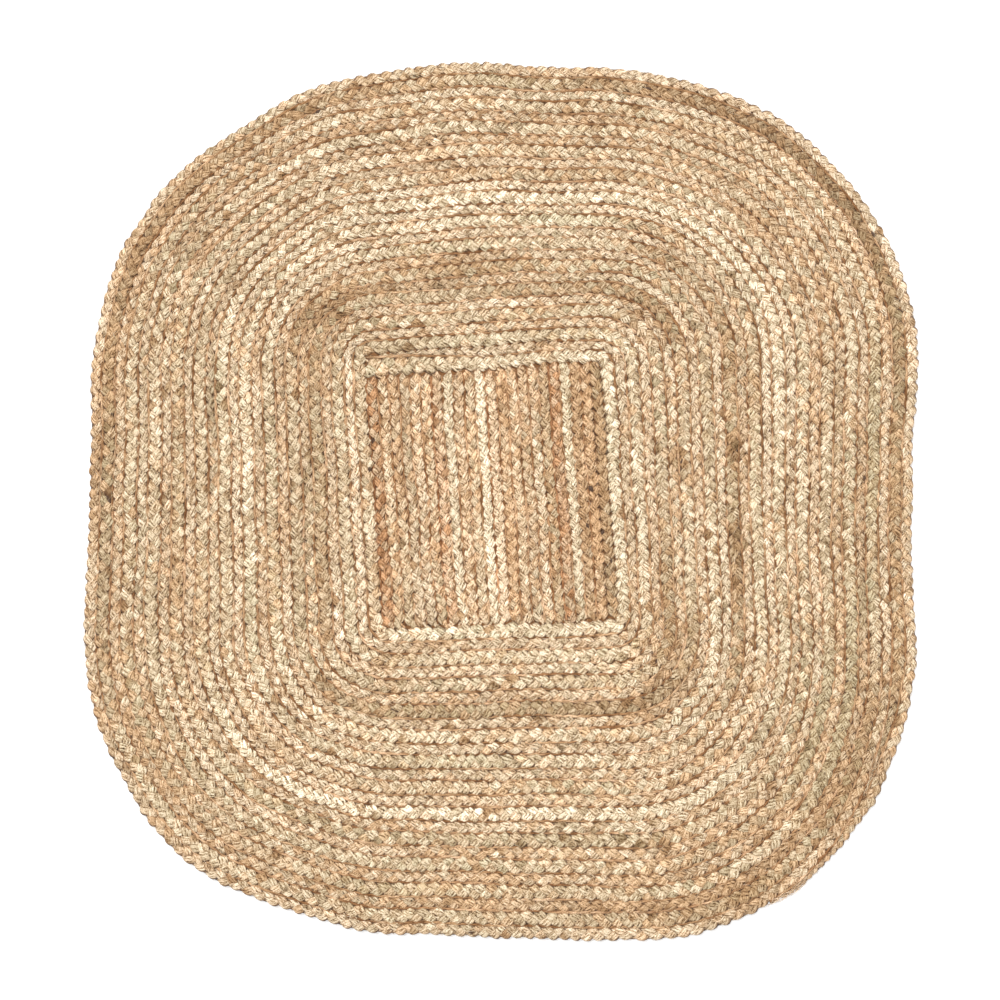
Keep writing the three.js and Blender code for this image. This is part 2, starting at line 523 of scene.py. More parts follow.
@dataclass
class Winding:
    """The way two braids wind clockwise round the centre, pale inside and tan outside in each pair.

    A knot is a place where the width of a pair is given: two along each side and four in the turn after it.
    Both runs are in knots, and the other lengths in mm.
    """

    corners: Corners = Corners()
    pairs: tuple[SideWidths, ...] = (
        SideWidths(24.2, 24.8, 23.7, (23.7, 24.5, 25.1)),
        SideWidths(25.6, 24.5, 23.8, (24.9, 26.9, 28.3)),
        SideWidths(28.1, 27.4, 26.7, (26.0, 26.7, 26.4)),
        SideWidths(26.2, 24.9, 23.9, (23.3, 22.8, 22.8)),
    )
    corner_radius: float = 3.0
    full_laps: int = 12
    ending_side: int = 1
    pale_share: float = 0.55
    pale_start_share: float = 0.88
    start_run: float = 1.0
    start_back: float = 2.4
    tail_width: float = 2.6
    close_run: float = 0.3
    pale_ending: Ending = Ending(1 / 7, 3 / 7)
    tan_ending: Ending = Ending(3 / 7, 5 / 7)
    points_a_knot: int = 60
    froms: np.ndarray = field(init=False)
    tos: np.ndarray = field(init=False)
    outs: np.ndarray = field(init=False)

    KNOTS_A_STRAIGHT = 2
    KNOTS_A_TURN = 4
    KNOTS_A_SIDE = KNOTS_A_STRAIGHT + KNOTS_A_TURN
    KNOTS_A_LAP = 4 * KNOTS_A_SIDE

    def __post_init__(self) -> None:
        """Works out where each straight side starts and ends, and which way faces out from it."""
        back_left, back_right, front_right, front_left = self.corners.places()
        out_back = left_of(unit(back_right - back_left))
        over_start = back_left + out_back * self.pairs[0].start
        past_start = over_start + back_right - back_left
        turns = [
            self.inset_corner(back_left, back_right, front_right),
            self.inset_corner(back_right, front_right, front_left),
            self.inset_corner(front_right, front_left, over_start),
            self.inset_corner(front_left, over_start, past_start),
        ]
        start = turns[3] - out_back * self.pairs[0].start
        self.froms = np.array([start, turns[0], turns[1], turns[2]])
        self.tos = np.array(turns)
        self.outs = left_of(unit(self.tos - self.froms))

    def inset_corner(self, before: np.ndarray, corner: np.ndarray, after: np.ndarray) -> np.ndarray:
        """Finds the point that lies the corner radius inside both lines that meet at a corner.

        Args:
            before: The corner before it.
            corner: The corner.
            after: The corner after it.

        Returns:
            The middle of the turn there.
        """
        out_a = left_of(unit(corner - before))
        out_b = left_of(unit(after - corner))
        return corner - (out_a + out_b) * self.corner_radius / (1 + out_a @ out_b)

    def pair_widths(self, knots: np.ndarray) -> np.ndarray:
        """Reads the width of a pair, rounded between the table's values.

        Args:
            knots: Places along the winding, in knots.

        Returns:
            Widths in mm.
        """
        table = np.array([w for side in self.pairs for w in (side.start, side.middle, side.end, *side.turn)])
        low = np.floor(knots).astype(int)
        share = knots - low
        a, b, c, d = (table[(low + i) % self.KNOTS_A_LAP] for i in (-1, 0, 1, 2))
        bend = (3 * b - 3 * c + d - a) * share + 2 * a - 5 * b + 4 * c - d
        return b + 0.5 * share * (c - a + share * bend)

    def lines(self, knots: np.ndarray) -> tuple[np.ndarray, np.ndarray]:
        """Reads where the winding is measured from and which way is outwards.

        Args:
            knots: Places along the winding, in knots.

        Returns:
            Flat places, and directions outwards.
        """
        within = knots % self.KNOTS_A_LAP
        side = np.floor(within / self.KNOTS_A_SIDE).astype(int)
        local = within - side * self.KNOTS_A_SIDE
        straight = np.clip(local / self.KNOTS_A_STRAIGHT, 0, 1)[:, None]
        turned = np.clip((local - self.KNOTS_A_STRAIGHT) / self.KNOTS_A_TURN, 0, 1)
        origin = self.froms[side] * (1 - straight) + self.tos[side] * straight
        out, following = self.outs[side], self.outs[(side + 1) % len(self.outs)]
        angle = -turned * np.arccos(np.clip((out * following).sum(1), -1, 1))
        cos, sin = np.cos(angle), np.sin(angle)
        turned_out = np.stack([out[:, 0] * cos - out[:, 1] * sin, out[:, 0] * sin + out[:, 1] * cos], axis=1)
        return origin, turned_out

    def thinned(self, widths: np.ndarray, knots: np.ndarray, ending: Ending) -> np.ndarray:
        """Thins a braid where its outer end nears.

        Args:
            widths: Full widths, in mm.
            knots: Places along the winding, in knots.
            ending: Where the braid thins out.

        Returns:
            Widths in mm.
        """
        done = ending.done((knots - self.last_turn()) / self.KNOTS_A_TURN)
        return widths * (1 - done) + np.minimum(widths, self.tail_width) * done

    def last_turn(self) -> float:
        """Where the turn starts in which both braids end, in knots."""
        side_start = self.full_laps * self.KNOTS_A_LAP + self.ending_side * self.KNOTS_A_SIDE
        return side_start + self.KNOTS_A_STRAIGHT

    def pale_shares(self, knots: np.ndarray) -> np.ndarray:
        """Reads the pale braid's share of a pair: it is wide at its start and then settles.

        Args:
            knots: Places along the winding, in knots.

        Returns:
            Shares of the pair's width.
        """
        settled = np.clip(knots / self.start_run, 0, 1)
        return self.pale_start_share * (1 - settled) + self.pale_share * settled

    def route(self, tone: Tone) -> Route:
        """Draws the line of one of the two braids from its start to its tail.

        Args:
            tone: Tone.PALE for the inner braid of each pair, Tone.TAN for the outer one.

        Returns:
            The braid's route.
        """
        ending = self.pale_ending if tone is Tone.PALE else self.tan_ending
        last = self.last_turn() + ending.stops_at * self.KNOTS_A_TURN
        knots = np.linspace(0, last, int(last * self.points_a_knot))
        origin, out = self.lines(knots)
        pair = self.pair_widths(knots)
        inner = self.corner_radius + np.floor(knots / self.KNOTS_A_LAP) * pair
        share = self.pale_shares(knots)
        pale = self.thinned(share * pair, knots, self.pale_ending)
        if tone is Tone.PALE:
            middle, width = inner + pale / 2, pale
        else:
            # Past the end of the pale braid, the tan one closes in
            pale_ends = self.last_turn() + self.pale_ending.stops_at * self.KNOTS_A_TURN
            pale = pale * np.clip(1 - (knots - pale_ends) / self.close_run, 0, 1)
            width = self.thinned((1 - share) * pair, knots, self.tan_ending)
            middle = inner + pale + width / 2
        points = origin + out * middle[:, None]
        if tone is Tone.PALE:
            heading = unit(points[1] - points[0])
            points = np.concatenate([[points[0] - heading * self.start_back], points])
            width = np.concatenate([[width[0]], width])
            knots = np.concatenate([[0.0], knots])
        return smooth_route(points, width, knots / self.KNOTS_A_LAP)

    def outline(self, inset: float, count: int) -> np.ndarray:
        """Draws a line inside the outer edge, all the way round.

        Args:
            inset: How far inside the edge, in mm.
            count: Number of points.

        Returns:
            Flat places in mm.
        """
        knots = np.linspace(0, self.KNOTS_A_LAP, count, endpoint=False)
        origin, out = self.lines(knots)
        turn_starts = self.last_turn() - self.full_laps * self.KNOTS_A_LAP
        turned = (knots - turn_starts) / self.KNOTS_A_TURN
        laps = self.full_laps
        for share, ending in ((self.pale_share, self.pale_ending), (1 - self.pale_share, self.tan_ending)):
            laps = laps + share * (1 - ending.done(turned))
        reach = self.corner_radius + laps * self.pair_widths(knots) - inset
        return Wander().moved(origin + out * reach[:, None])


@dataclass(frozen=True)
class StrandShape:
    """How one strand of a braid runs, and how it flattens as it passes over and folds round an edge.

    Half sizes are in mm for a braid of the usual width, and grow and shrink with the braid. Stations are the
    places of the rings, as shares of half a repeat. The ring is the cross-section, in half widths and half
    heights. A strand turns under a little before it reaches the braid's edge, by the lead.
    """

    usual_width: float = 13.4
    overlap: float = 0.9
    period: float = 37.0
    pass_half_width: float = 5.4
    edge_half_width: float = 6.9
    cross_half_width: float = 3.6
    pass_half_height: float = 1.45
    edge_half_height: float = 1.7
    cross_half_height: float = 1.5
    lift: float = 2.7
    rise: float = 0.65
    pinch: float = 0.0
    lead_degrees: float = 15.0
    fold_degrees: float = 45.0
    fold_sharpness: float = 0.45
    highest_scale: float = 1.1
    highest_lift: float = 1.05
    tight_scales: tuple[float, float] = (0.35, 1.25)
    tightening: float = 0.3
    girth_share: float = 1.35
    stations: tuple[float, ...] = (0, 0.09, 0.19, 0.3, 0.42, 0.6, 0.86)
    ring: tuple[tuple[float, float], ...] = (
        (1.0, 0.0), (0.74, 0.95), (-0.74, 0.95), (-1.0, 0.0), (-0.6, -0.9), (0.6, -0.9)
    )

    def half_sizes(self, theta: np.ndarray, scale: np.ndarray) -> tuple[np.ndarray, np.ndarray]:
        """Half width and half height of the strand.

        Args:
            theta: Place in the braid's repeat, as an angle.
            scale: Width of the braid against the usual one.

        Returns:
            Half widths and half heights in mm.
        """
        passing = np.abs(np.sin(2 * theta + 2 * math.radians(self.lead_degrees)))
        edge = np.sin(theta) ** 4
        wide = self.cross_half_width * (1 - edge) + self.edge_half_width * edge
        high = self.cross_half_height * (1 - edge) + self.edge_half_height * edge
        wide = wide * (1 - passing) + self.pass_half_width * passing
        high = high * (1 - passing) + self.pass_half_height * passing
        return wide * scale, high * np.clip(scale, 0, self.highest_scale)

    def periods(self, widths: np.ndarray) -> np.ndarray:
        """Length of the repeat where the braid has these widths: a narrow braid is plaited tighter."""
        return self.period * np.clip(widths / self.usual_width, *self.tight_scales) ** self.tightening

    def girth(self) -> float:
        """Distance round the strand, in mm: it is flat, so it is less than a circle of its width has."""
        return self.girth_share * math.pi * self.pass_half_width

    def sideways(self, theta: np.ndarray) -> np.ndarray:
        """How far the strand's middle is from the braid's middle, from -1 to 1."""
        return (np.sin(theta) + self.pinch * np.sin(3 * theta)) / (1 - self.pinch)

    def height(self, theta: np.ndarray) -> np.ndarray:
        """How high the strand's middle is, from -1 underneath to 1 on top."""
        swing = np.sin(2 * theta + 2 * math.radians(self.lead_degrees))
        return np.sign(swing) * np.abs(swing) ** self.rise

    def fold(self, theta: np.ndarray) -> np.ndarray:
        """Angle in plan from the braid's heading to the strand's width, 0 at the fold round an edge."""
        swing = np.cos(theta)
        return -math.radians(self.fold_degrees) * np.sign(swing) * np.abs(swing) ** self.fold_sharpness


@dataclass
class MeshData:
    """Arrays of one mesh: places in mm, faces, both maps, what is recorded about the fibre, and painted
    groove shade.

    The strand map carries the fibre's streaks, one unit for PATTERN_LENGTH along and round each tube. The
    sheet map lays the tubes out flat.
    """

    places: list[np.ndarray] = field(default_factory=list)
    faces: list[np.ndarray] = field(default_factory=list)
    caps: list[np.ndarray] = field(default_factory=list)
    strand_map: list[np.ndarray] = field(default_factory=list)
    sheet_map: list[np.ndarray] = field(default_factory=list)
    fibre: list[np.ndarray] = field(default_factory=list)
    depth: list[np.ndarray] = field(default_factory=list)
    count: int = 0

    PATTERN_LENGTH = 10
    ROUND_START = 1.7

    def add_tube(
        self,
        rings: np.ndarray,
        ring_along: np.ndarray,
        girth: float,
        offset: float,
        fibre: np.ndarray,
        depth: np.ndarray,
    ) -> None:
        """Adds a closed tube.

        Args:
            rings: Places of each ring's points, (rings, sides, 3).
            ring_along: Distance of each ring along the tube, in mm.
            girth: Distance round the tube, in mm.
            offset: Where the fibre pattern starts, so that no two tubes look alike.
            fibre: What is recorded for each ring, (rings, 4).
            depth: How deep each point lies, which sets its painted shade, (rings, sides).
        """
        count, sides = rings.shape[:2]
        ring, side = np.meshgrid(np.arange(count - 1), np.arange(sides), indexing="ij")
        following = (side + 1) % sides
        corners = ((ring, side), (ring, following), (ring + 1, following), (ring + 1, side))
        faces = np.stack([a * sides + b for a, b in corners], axis=-1).reshape(-1, 4) + self.count
        steps = ((0, 0), (0, 1), (1, 1), (1, 0))
        round_it = np.stack([(side + dv) * girth / sides for _, dv in steps], axis=-1)
        length = np.stack([ring_along[ring + du] for du, _ in steps], axis=-1)
        starts = (offset, self.ROUND_START * offset)
        pattern = np.stack(
            [value / self.PATTERN_LENGTH + start for value, start in zip((length, round_it), starts)], axis=-1
        )
        self.places.append(rings.reshape(-1, 3))
        self.faces.append(faces)
        ends = np.stack([np.arange(sides)[::-1], (count - 1) * sides + np.arange(sides)])
        self.caps.append(ends + self.count)
        self.strand_map.append(pattern.reshape(-1, 2))
        self.sheet_map.append(np.stack([length.reshape(-1), round_it.reshape(-1)], axis=-1))
        self.fibre.append(np.repeat(fibre, sides, axis=0))
        self.depth.append(depth.reshape(-1))
        self.count += count * sides

    def spread_map(self, gap: float = 1.2, spare: float = 12.0) -> np.ndarray:
        """Lays every tube's skin out flat in strips of one square, thick tubes first and then thin ones.

        Args:
            gap: Distance between strips, in mm.
            spare: Length left free at the end of each strip, in mm.

        Returns:
            A place in the unit square for each corner of each four-sided face.
        """
        lengths = np.array([tube[:, 0].max() for tube in self.sheet_map])
        girths = np.array([tube[:, 1].max() for tube in self.sheet_map]).round(1)
        kinds = sorted(set(girths), reverse=True)
        wide = math.sqrt(sum(lengths[girths == kind].sum() * (kind + gap) for kind in kinds))
        laid = [None] * len(self.sheet_map)
        base = 0.0
        for kind in kinds:
            start = 0.0
            for index in np.flatnonzero(girths == kind):
                tube = self.sheet_map[index].reshape(-1, 4, 2)
                row = np.floor((tube[..., 0].min(axis=1) + start) / wide)[:, None]
                across = tube[..., 0] + start - row * wide
                up = base + tube[..., 1] + row * (kind + gap)
                laid[index] = np.stack([across, up], axis=-1).reshape(-1, 2)
                start += lengths[index]
            base += (math.floor(start / wide) + 1) * (kind + gap)
        return np.concatenate(laid) / np.array([wide + spare, base])

    def build(self, name: str) -> bpy.types.Object:
        """Makes the Blender object.

        Args:
            name: Name of the piece.

        Returns:
            The new object, linked to the scene.
        """
        mesh = bpy.data.meshes.new(name)
        places = np.concatenate(self.places) * MM
        quads = np.concatenate(self.faces)
        sizes = [np.full(len(quads), 4)]
        corners = [quads.reshape(-1)]
        for ends in self.caps:
            sizes.append(np.full(len(ends), ends.shape[1]))
            corners.append(ends.reshape(-1))
        sizes, corners = np.concatenate(sizes), np.concatenate(corners)
        mesh.vertices.add(len(places))
        mesh.vertices.foreach_set("co", places.astype(np.float32).reshape(-1))
        mesh.loops.add(len(corners))
        mesh.loops.foreach_set("vertex_index", corners.astype(np.int32))
        mesh.polygons.add(len(sizes))
        mesh.polygons.foreach_set("loop_start", (np.cumsum(sizes) - sizes).astype(np.int32))
        mesh.update(calc_edges=True)
        spare = np.zeros((len(corners) - 4 * len(quads), 2))
        for title, values in (("OFBake", self.spread_map()), ("Strand", np.concatenate(self.strand_map))):
            layer = mesh.uv_layers.new(name=title)
            layer.uv.foreach_set("vector", np.concatenate([values, spare]).astype(np.float32).reshape(-1))
        record = mesh.color_attributes.new("fibre", "FLOAT_COLOR", "POINT")
        record.data.foreach_set("color", np.concatenate(self.fibre).astype(np.float32).reshape(-1))
        # Painted shade in the grooves and at the rims, by which the jute tone darkens the colour
        depth = mesh.attributes.new("depth", "FLOAT", "POINT")
        depth.data.foreach_set("value", np.concatenate(self.depth).astype(np.float32))
        mesh.shade_smooth()
        piece = bpy.data.objects.new(name, mesh)
        bpy.context.scene.collection.objects.link(piece)
        return piece


@dataclass(frozen=True)
class Wiring:
    """Adds small nodes to one node tree and links them up."""

    tree: bpy.types.NodeTree

    def feed(self, socket: bpy.types.NodeSocket, value: object) -> None:
        """Gives an input its value.

        Args:
            socket: The input.
            value: A socket to link to it, or a number or colour.
        """
        if isinstance(value, bpy.types.NodeSocket):
            self.tree.links.new(value, socket)
        else:
            socket.default_value = value

    def math(self, operation: str, a: object, b: object) -> bpy.types.NodeSocket:
        """Works one value out of two.

        Args:
            operation: The Math node's operation.
            a: A socket or a number.
            b: A socket or a number.

        Returns:
            The result's socket.
        """
        node = self.tree.nodes.new("ShaderNodeMath")
        node.operation = operation
        self.feed(node.inputs[0], a)
        self.feed(node.inputs[1], b)
        return node.outputs[0]

    def add(self, a: object, b: object) -> bpy.types.NodeSocket:
        """Adds two values, sockets or numbers."""
        return self.math("ADD", a, b)

    def times(self, a: object, b: object) -> bpy.types.NodeSocket:
        """Multiplies two values, sockets or numbers."""
        return self.math("MULTIPLY", a, b)

    def spread(self, value: bpy.types.NodeSocket, limits: tuple[float, float]) -> bpy.types.NodeSocket:
        """Stretches a value and eases it from 0 to 1.

        Args:
            value: The socket to stretch.
            limits: Values that become 0 and 1.

        Returns:
            The result's socket.
        """
        node = self.tree.nodes.new("ShaderNodeMapRange")
        node.interpolation_type = "SMOOTHSTEP"
        self.feed(node.inputs["From Min"], limits[0])
        self.feed(node.inputs["From Max"], limits[1])
        self.feed(node.inputs["Value"], value)
        return node.outputs["Result"]

    def mix(self, share: object, a: object, b: object) -> bpy.types.NodeSocket:
        """Mixes two colours.

        Args:
            share: A socket or number, from 0 for the first to 1 for the second.
            a: First colour, a socket or four numbers.
            b: Second colour, a socket or four numbers.

        Returns:
            The mixed colour's socket.
        """
        node = self.tree.nodes.new("ShaderNodeMix")
        node.data_type = "RGBA"
        # A Mix node has its colours at these places, after those of its other kinds
        for index, value in ((0, share), (6, a), (7, b)):
            self.feed(node.inputs[index], value)
        return node.outputs[2]

    def recorded(self, name: str) -> bpy.types.Node:
        """Reads what the mesh records under a name."""
        node = self.tree.nodes.new("ShaderNodeAttribute")
        node.attribute_name = name
        return node

    def hairs(
        self, place: bpy.types.NodeSocket, fineness: tuple[object, object], turn: float
    ) -> bpy.types.NodeSocket:
        """Adds noise drawn out along the strand.

        Args:
            place: Where the noise is read, along and round the strand.
            fineness: Fineness along and across, sockets or numbers.
            turn: Angle between the noise and the strand, in degrees.

        Returns:
            The noise's value.
        """
        turned = self.tree.nodes.new("ShaderNodeVectorRotate")
        turned.rotation_type = "Z_AXIS"
        self.feed(turned.inputs["Angle"], math.radians(turn))
        self.feed(turned.inputs["Vector"], place)
        parts = self.tree.nodes.new("ShaderNodeSeparateXYZ")
        self.feed(parts.inputs[0], turned.outputs[0])
        joined = self.tree.nodes.new("ShaderNodeCombineXYZ")
        for index, value in enumerate(fineness):
            self.feed(joined.inputs[index], self.times(parts.outputs[index], value))
        noise = self.tree.nodes.new("ShaderNodeTexNoise")
        noise.noise_dimensions = "2D"
        self.feed(noise.inputs["Scale"], 1.0)
        self.feed(noise.inputs["Detail"], 1.0)
        self.feed(noise.inputs["Vector"], joined.outputs[0])
        return noise.outputs["Fac"]


@dataclass(frozen=True)
class Hairs:
    """One kind of hair in the fibre.

    It has its angle to the strand in degrees, the limits of the noise that show as none and as full, and its
    share in the streaks.
    """

    turn: float
    limits: tuple[float, float]
    share: float = 1.0


@dataclass(frozen=True)
class StreakPattern:
    """Fine streaks along a strand, short flecks, and stray hairs across it.

    Finenesses count in the units of the strand map. The fine streaks and the stray hairs are finer than the
    coarse streaks by a factor.
    """

    fineness: float = 12.0
    length: float = 1.2
    finer: float = 2.2
    fleck_fineness: tuple[float, float] = (8.0, 13.0)
    coarse: Hairs = Hairs(6, (0.34, 0.66), 0.42)
    fine: Hairs = Hairs(-5, (0.32, 0.68), 0.28)
    fleck: Hairs = Hairs(12, (0.34, 0.66), 0.3)
    pale: Hairs = Hairs(18, (0.64, 0.74))
    dark: Hairs = Hairs(-20, (0.66, 0.76))


@dataclass(frozen=True)
class ToneRule:
    """How the streaks, the hairs and the grooves change a finish's colour; the grooves' darkening is painted
    shade.

    A dark streak leans warm, and a pale one stands out less than a dark one. Darker fibre is also redder, so
    each channel takes the brightness to a power of its own.
    """

    lean: float = -0.3
    bright_streaks: float = 0.6
    # Painted shade: how much darker the grooves and strand rims are painted
    painted_groove_shade: float = -0.6
    pale_hair: float = 0.3
    dark_hair: float = -0.3
    darkest: float = 0.02
    channel_powers: tuple[float, float, float] = (1.0, 1.2, 1.5)
    bark: tuple[float, float, float] = srgb(66, 40, 28)
    roughness: float = 0.92
    streak_roughness: float = -0.25


class NodeGroups:
    """Shader node groups that the finishes share, each built once."""

    def __init__(self) -> None:
        """Builds both groups."""
        self.streaks = self.fibre_streaks(StreakPattern())
        self.tone = self.jute_tone(ToneRule())

    @staticmethod
    def blank(name: str, inputs: dict[str, object], outputs: dict[str, str]) -> bpy.types.NodeTree:
        """Starts a group with named sockets.

        Args:
            name: Name of the group.
            inputs: Default value of each input by name; a colour is four numbers.
            outputs: Kind of each output by name, Float or Color.

        Returns:
            The group, with its input and output nodes.
        """
        group = bpy.data.node_groups.new(name, "ShaderNodeTree")
        for title, value in inputs.items():
            kind = "NodeSocketColor" if isinstance(value, tuple) else "NodeSocketFloat"
            socket = group.interface.new_socket(title, in_out="INPUT", socket_type=kind)
            socket.default_value = value
        for title, kind in outputs.items():
            group.interface.new_socket(title, in_out="OUTPUT", socket_type=f"NodeSocket{kind}")
        group.nodes.new("NodeGroupInput")
        group.nodes.new("NodeGroupOutput")
        return group

    def fibre_streaks(self, pattern: StreakPattern) -> bpy.types.NodeTree:
        """Builds the group of fine streaks along a strand and of stray hairs across it.

        Args:
            pattern: What the streaks and hairs are like.

        Returns:
            A group that gives Streak, Pale hair, Dark hair and Height from Fineness and Length.
        """
        group = self.blank(
            "Fibre streaks",
            {"Fineness": pattern.fineness, "Length": pattern.length},
            {"Streak": "Float", "Pale hair": "Float", "Dark hair": "Float", "Height": "Float"},
        )
        wiring = Wiring(group)
        given, result = group.nodes["Group Input"].outputs, group.nodes["Group Output"].inputs
        strand_map = group.nodes.new("ShaderNodeUVMap")
        strand_map.uv_map = "Strand"
        place = strand_map.outputs[0]
        wide = (given["Length"], given["Fineness"])
        narrow = (given["Length"], wiring.times(given["Fineness"], pattern.finer))
        kinds = ((pattern.coarse, wide), (pattern.fine, narrow), (pattern.fleck, pattern.fleck_fineness))
        coarse, fine, fleck = (
            wiring.times(wiring.spread(wiring.hairs(place, size, kind.turn), kind.limits), kind.share)
            for kind, size in kinds
        )
        height = wiring.add(coarse, fine)
        pale, dark = (
            wiring.spread(wiring.hairs(place, narrow, kind.turn), kind.limits)
            for kind in (pattern.pale, pattern.dark)
        )
        wiring.feed(result["Streak"], wiring.add(height, fleck))
        wiring.feed(result["Pale hair"], pale)
        wiring.feed(result["Dark hair"], dark)
        wiring.feed(result["Height"], height)
        return group

    def jute_tone(self, rule: ToneRule) -> bpy.types.NodeTree:
        """Builds the group that colours jute from what the strands record.

        Args:
            rule: How the streaks, the hairs and the grooves change the colour.

        Returns:
            A group that gives Color and Roughness from the finish's colours, the streaks and their strengths.
        """
        black = (0.0, 0.0, 0.0, 1.0)
        group = self.blank(
            "Jute tone",
            {
                "Cool": black, "Warm": black, "Deep": black, "Grey": black,
                "Streak": 0.5, "Pale hair": 0.0, "Dark hair": 0.0, "Contrast": 0.5, "Seam": 0.5,
            },
            {"Color": "Color", "Roughness": "Float"},
        )
        wiring = Wiring(group)
        given, result = group.nodes["Group Input"].outputs, group.nodes["Group Output"].inputs
        fibre = wiring.recorded("fibre")
        depth = wiring.recorded("depth").outputs["Fac"]
        parts = group.nodes.new("ShaderNodeSeparateColor")
        wiring.feed(parts.inputs[0], fibre.outputs["Color"])
        tone, grey, bright = parts.outputs[0], parts.outputs[1], parts.outputs[2]
        streak = wiring.math("SUBTRACT", given["Streak"], 0.5)

        warmth = wiring.spread(wiring.add(tone, wiring.times(streak, rule.lean)), (0.0, 1.0))
        colour = wiring.mix(warmth, given["Cool"], given["Warm"])
        colour = wiring.mix(grey, colour, given["Grey"])
        # The grooves take the Deep colour: partly the browner packed fibre there, partly painted shade
        colour = wiring.mix(wiring.times(depth, given["Seam"]), colour, given["Deep"])

        swing = wiring.times(streak, given["Contrast"])
        swing = wiring.math("MINIMUM", swing, wiring.times(swing, rule.bright_streaks))
        value = wiring.times(wiring.add(swing, 1.0), bright)
        # Painted shade: darker by depth in the grooves and at the strands' rims
        value = wiring.times(value, wiring.add(wiring.times(depth, rule.painted_groove_shade), 1.0))
        value = wiring.add(value, wiring.times(given["Pale hair"], rule.pale_hair))
        value = wiring.add(value, wiring.times(given["Dark hair"], rule.dark_hair))
        value = wiring.math("MAXIMUM", value, rule.darkest)

        by_channel = group.nodes.new("ShaderNodeCombineXYZ")
        for channel, power in enumerate(rule.channel_powers):
            wiring.feed(by_channel.inputs[channel], wiring.math("POWER", value, power))
        scaled = group.nodes.new("ShaderNodeVectorMath")
        scaled.operation = "MULTIPLY"
        wiring.feed(scaled.inputs[0], colour)
        wiring.feed(scaled.inputs[1], by_channel.outputs[0])
        marked = wiring.mix(fibre.outputs["Alpha"], scaled.outputs[0], (*rule.bark, 1.0))
        wiring.feed(result["Color"], marked)
        rough = wiring.add(wiring.times(given["Streak"], rule.streak_roughness), rule.roughness)
        wiring.feed(result["Roughness"], rough)
        return group


@dataclass(frozen=True)
class JuteFinish:
    """Dry jute fibre in one shade. Colours are linear."""

    tone: Tone
    cool: tuple[float, float, float]
    # Groove colour: partly the browner packed fibre there, partly painted shade
    warm: tuple[float, float, float]
    deep: tuple[float, float, float]
    grey: tuple[float, float, float]
    contrast: float = 1.95
    # How far the grooves take the deep colour, which is partly painted shade
    seam: float = 0.9
    fineness: float = 11.0
    sheen: float = 0.12
    sheen_roughness: float = 0.5
    gloss: float = 0.3
    relief: float = 0.35
    relief_height: float = 0.5

    def material(self, groups: NodeGroups) -> bpy.types.Material:
        """Makes the finish's material.

        Args:
            groups: The shared node groups.

        Returns:
            The material.
        """
        finish = bpy.data.materials.new(self.tone.value)
        finish.use_nodes = True
        tree = finish.node_tree
        wiring = Wiring(tree)
        shader = tree.nodes["Principled BSDF"].inputs
        streaks = tree.nodes.new("ShaderNodeGroup")
        streaks.node_tree = groups.streaks
        wiring.feed(streaks.inputs["Fineness"], self.fineness)
        tone = tree.nodes.new("ShaderNodeGroup")
        tone.node_tree = groups.tone
        colours = {"Cool": self.cool, "Warm": self.warm, "Deep": self.deep, "Grey": self.grey}
        for title, colour in colours.items():
            wiring.feed(tone.inputs[title], (*colour, 1.0))
        wiring.feed(tone.inputs["Contrast"], self.contrast)
        wiring.feed(tone.inputs["Seam"], self.seam)
        for title in ("Streak", "Pale hair", "Dark hair"):
            wiring.feed(tone.inputs[title], streaks.outputs[title])
        bump = tree.nodes.new("ShaderNodeBump")
        wiring.feed(bump.inputs["Strength"], self.relief)
        wiring.feed(bump.inputs["Distance"], self.relief_height * MM)
        wiring.feed(bump.inputs["Height"], streaks.outputs["Height"])
        wiring.feed(shader["Base Color"], tone.outputs["Color"])
        wiring.feed(shader["Roughness"], tone.outputs["Roughness"])
        wiring.feed(shader["Normal"], bump.outputs["Normal"])
        wiring.feed(shader["Sheen Weight"], self.sheen)
        wiring.feed(shader["Sheen Roughness"], self.sheen_roughness)
        wiring.feed(shader["Specular IOR Level"], self.gloss)
        return finish


# The third colour of each is the groove colour, partly browner packed fibre and partly painted shade
FINISHES = (
    JuteFinish(Tone.PALE, srgb(239, 218, 184), srgb(212, 174, 131), srgb(140, 88, 38), srgb(198, 187, 149)),
    JuteFinish(Tone.STRAW, srgb(239, 214, 178), srgb(212, 170, 126), srgb(140, 86, 36), srgb(196, 183, 147)),
    JuteFinish(Tone.TAN, srgb(241, 218, 185), srgb(215, 177, 135), srgb(142, 88, 38), srgb(198, 185, 150)),
    JuteFinish(Tone.RUST, srgb(238, 207, 170), srgb(202, 151, 106), srgb(134, 78, 32), srgb(188, 164, 132)),
)


@dataclass(frozen=True)
class ShapedStrand:
    """One strand along the whole of a braid, with a value or a row for each ring."""

    along: np.ndarray
    length: np.ndarray
    places: np.ndarray
    fibre: np.ndarray
    depth: np.ndarray
    offset: float


@dataclass(frozen=True)
class PlaitChange:
    """How uneven the plaiting is: from one pass of a strand over the others to the next, and slowly along it.

    The lift is in mm and the fold in radians. The rest are shares of the plait's own sizes.
    """

    long_repeat: Change = Change(0.1, 90)
    short_repeat: Change = Change(0.16, 24)
    pass_width: float = 0.07
    width: Change = Change(0.06, 60)
    pass_height: float = 0.06
    pass_reach: float = 0.05
    pass_lift: float = 0.12
    pass_fold: float = 0.08
    first_pass: float = 0.25
    most: float = 2.0


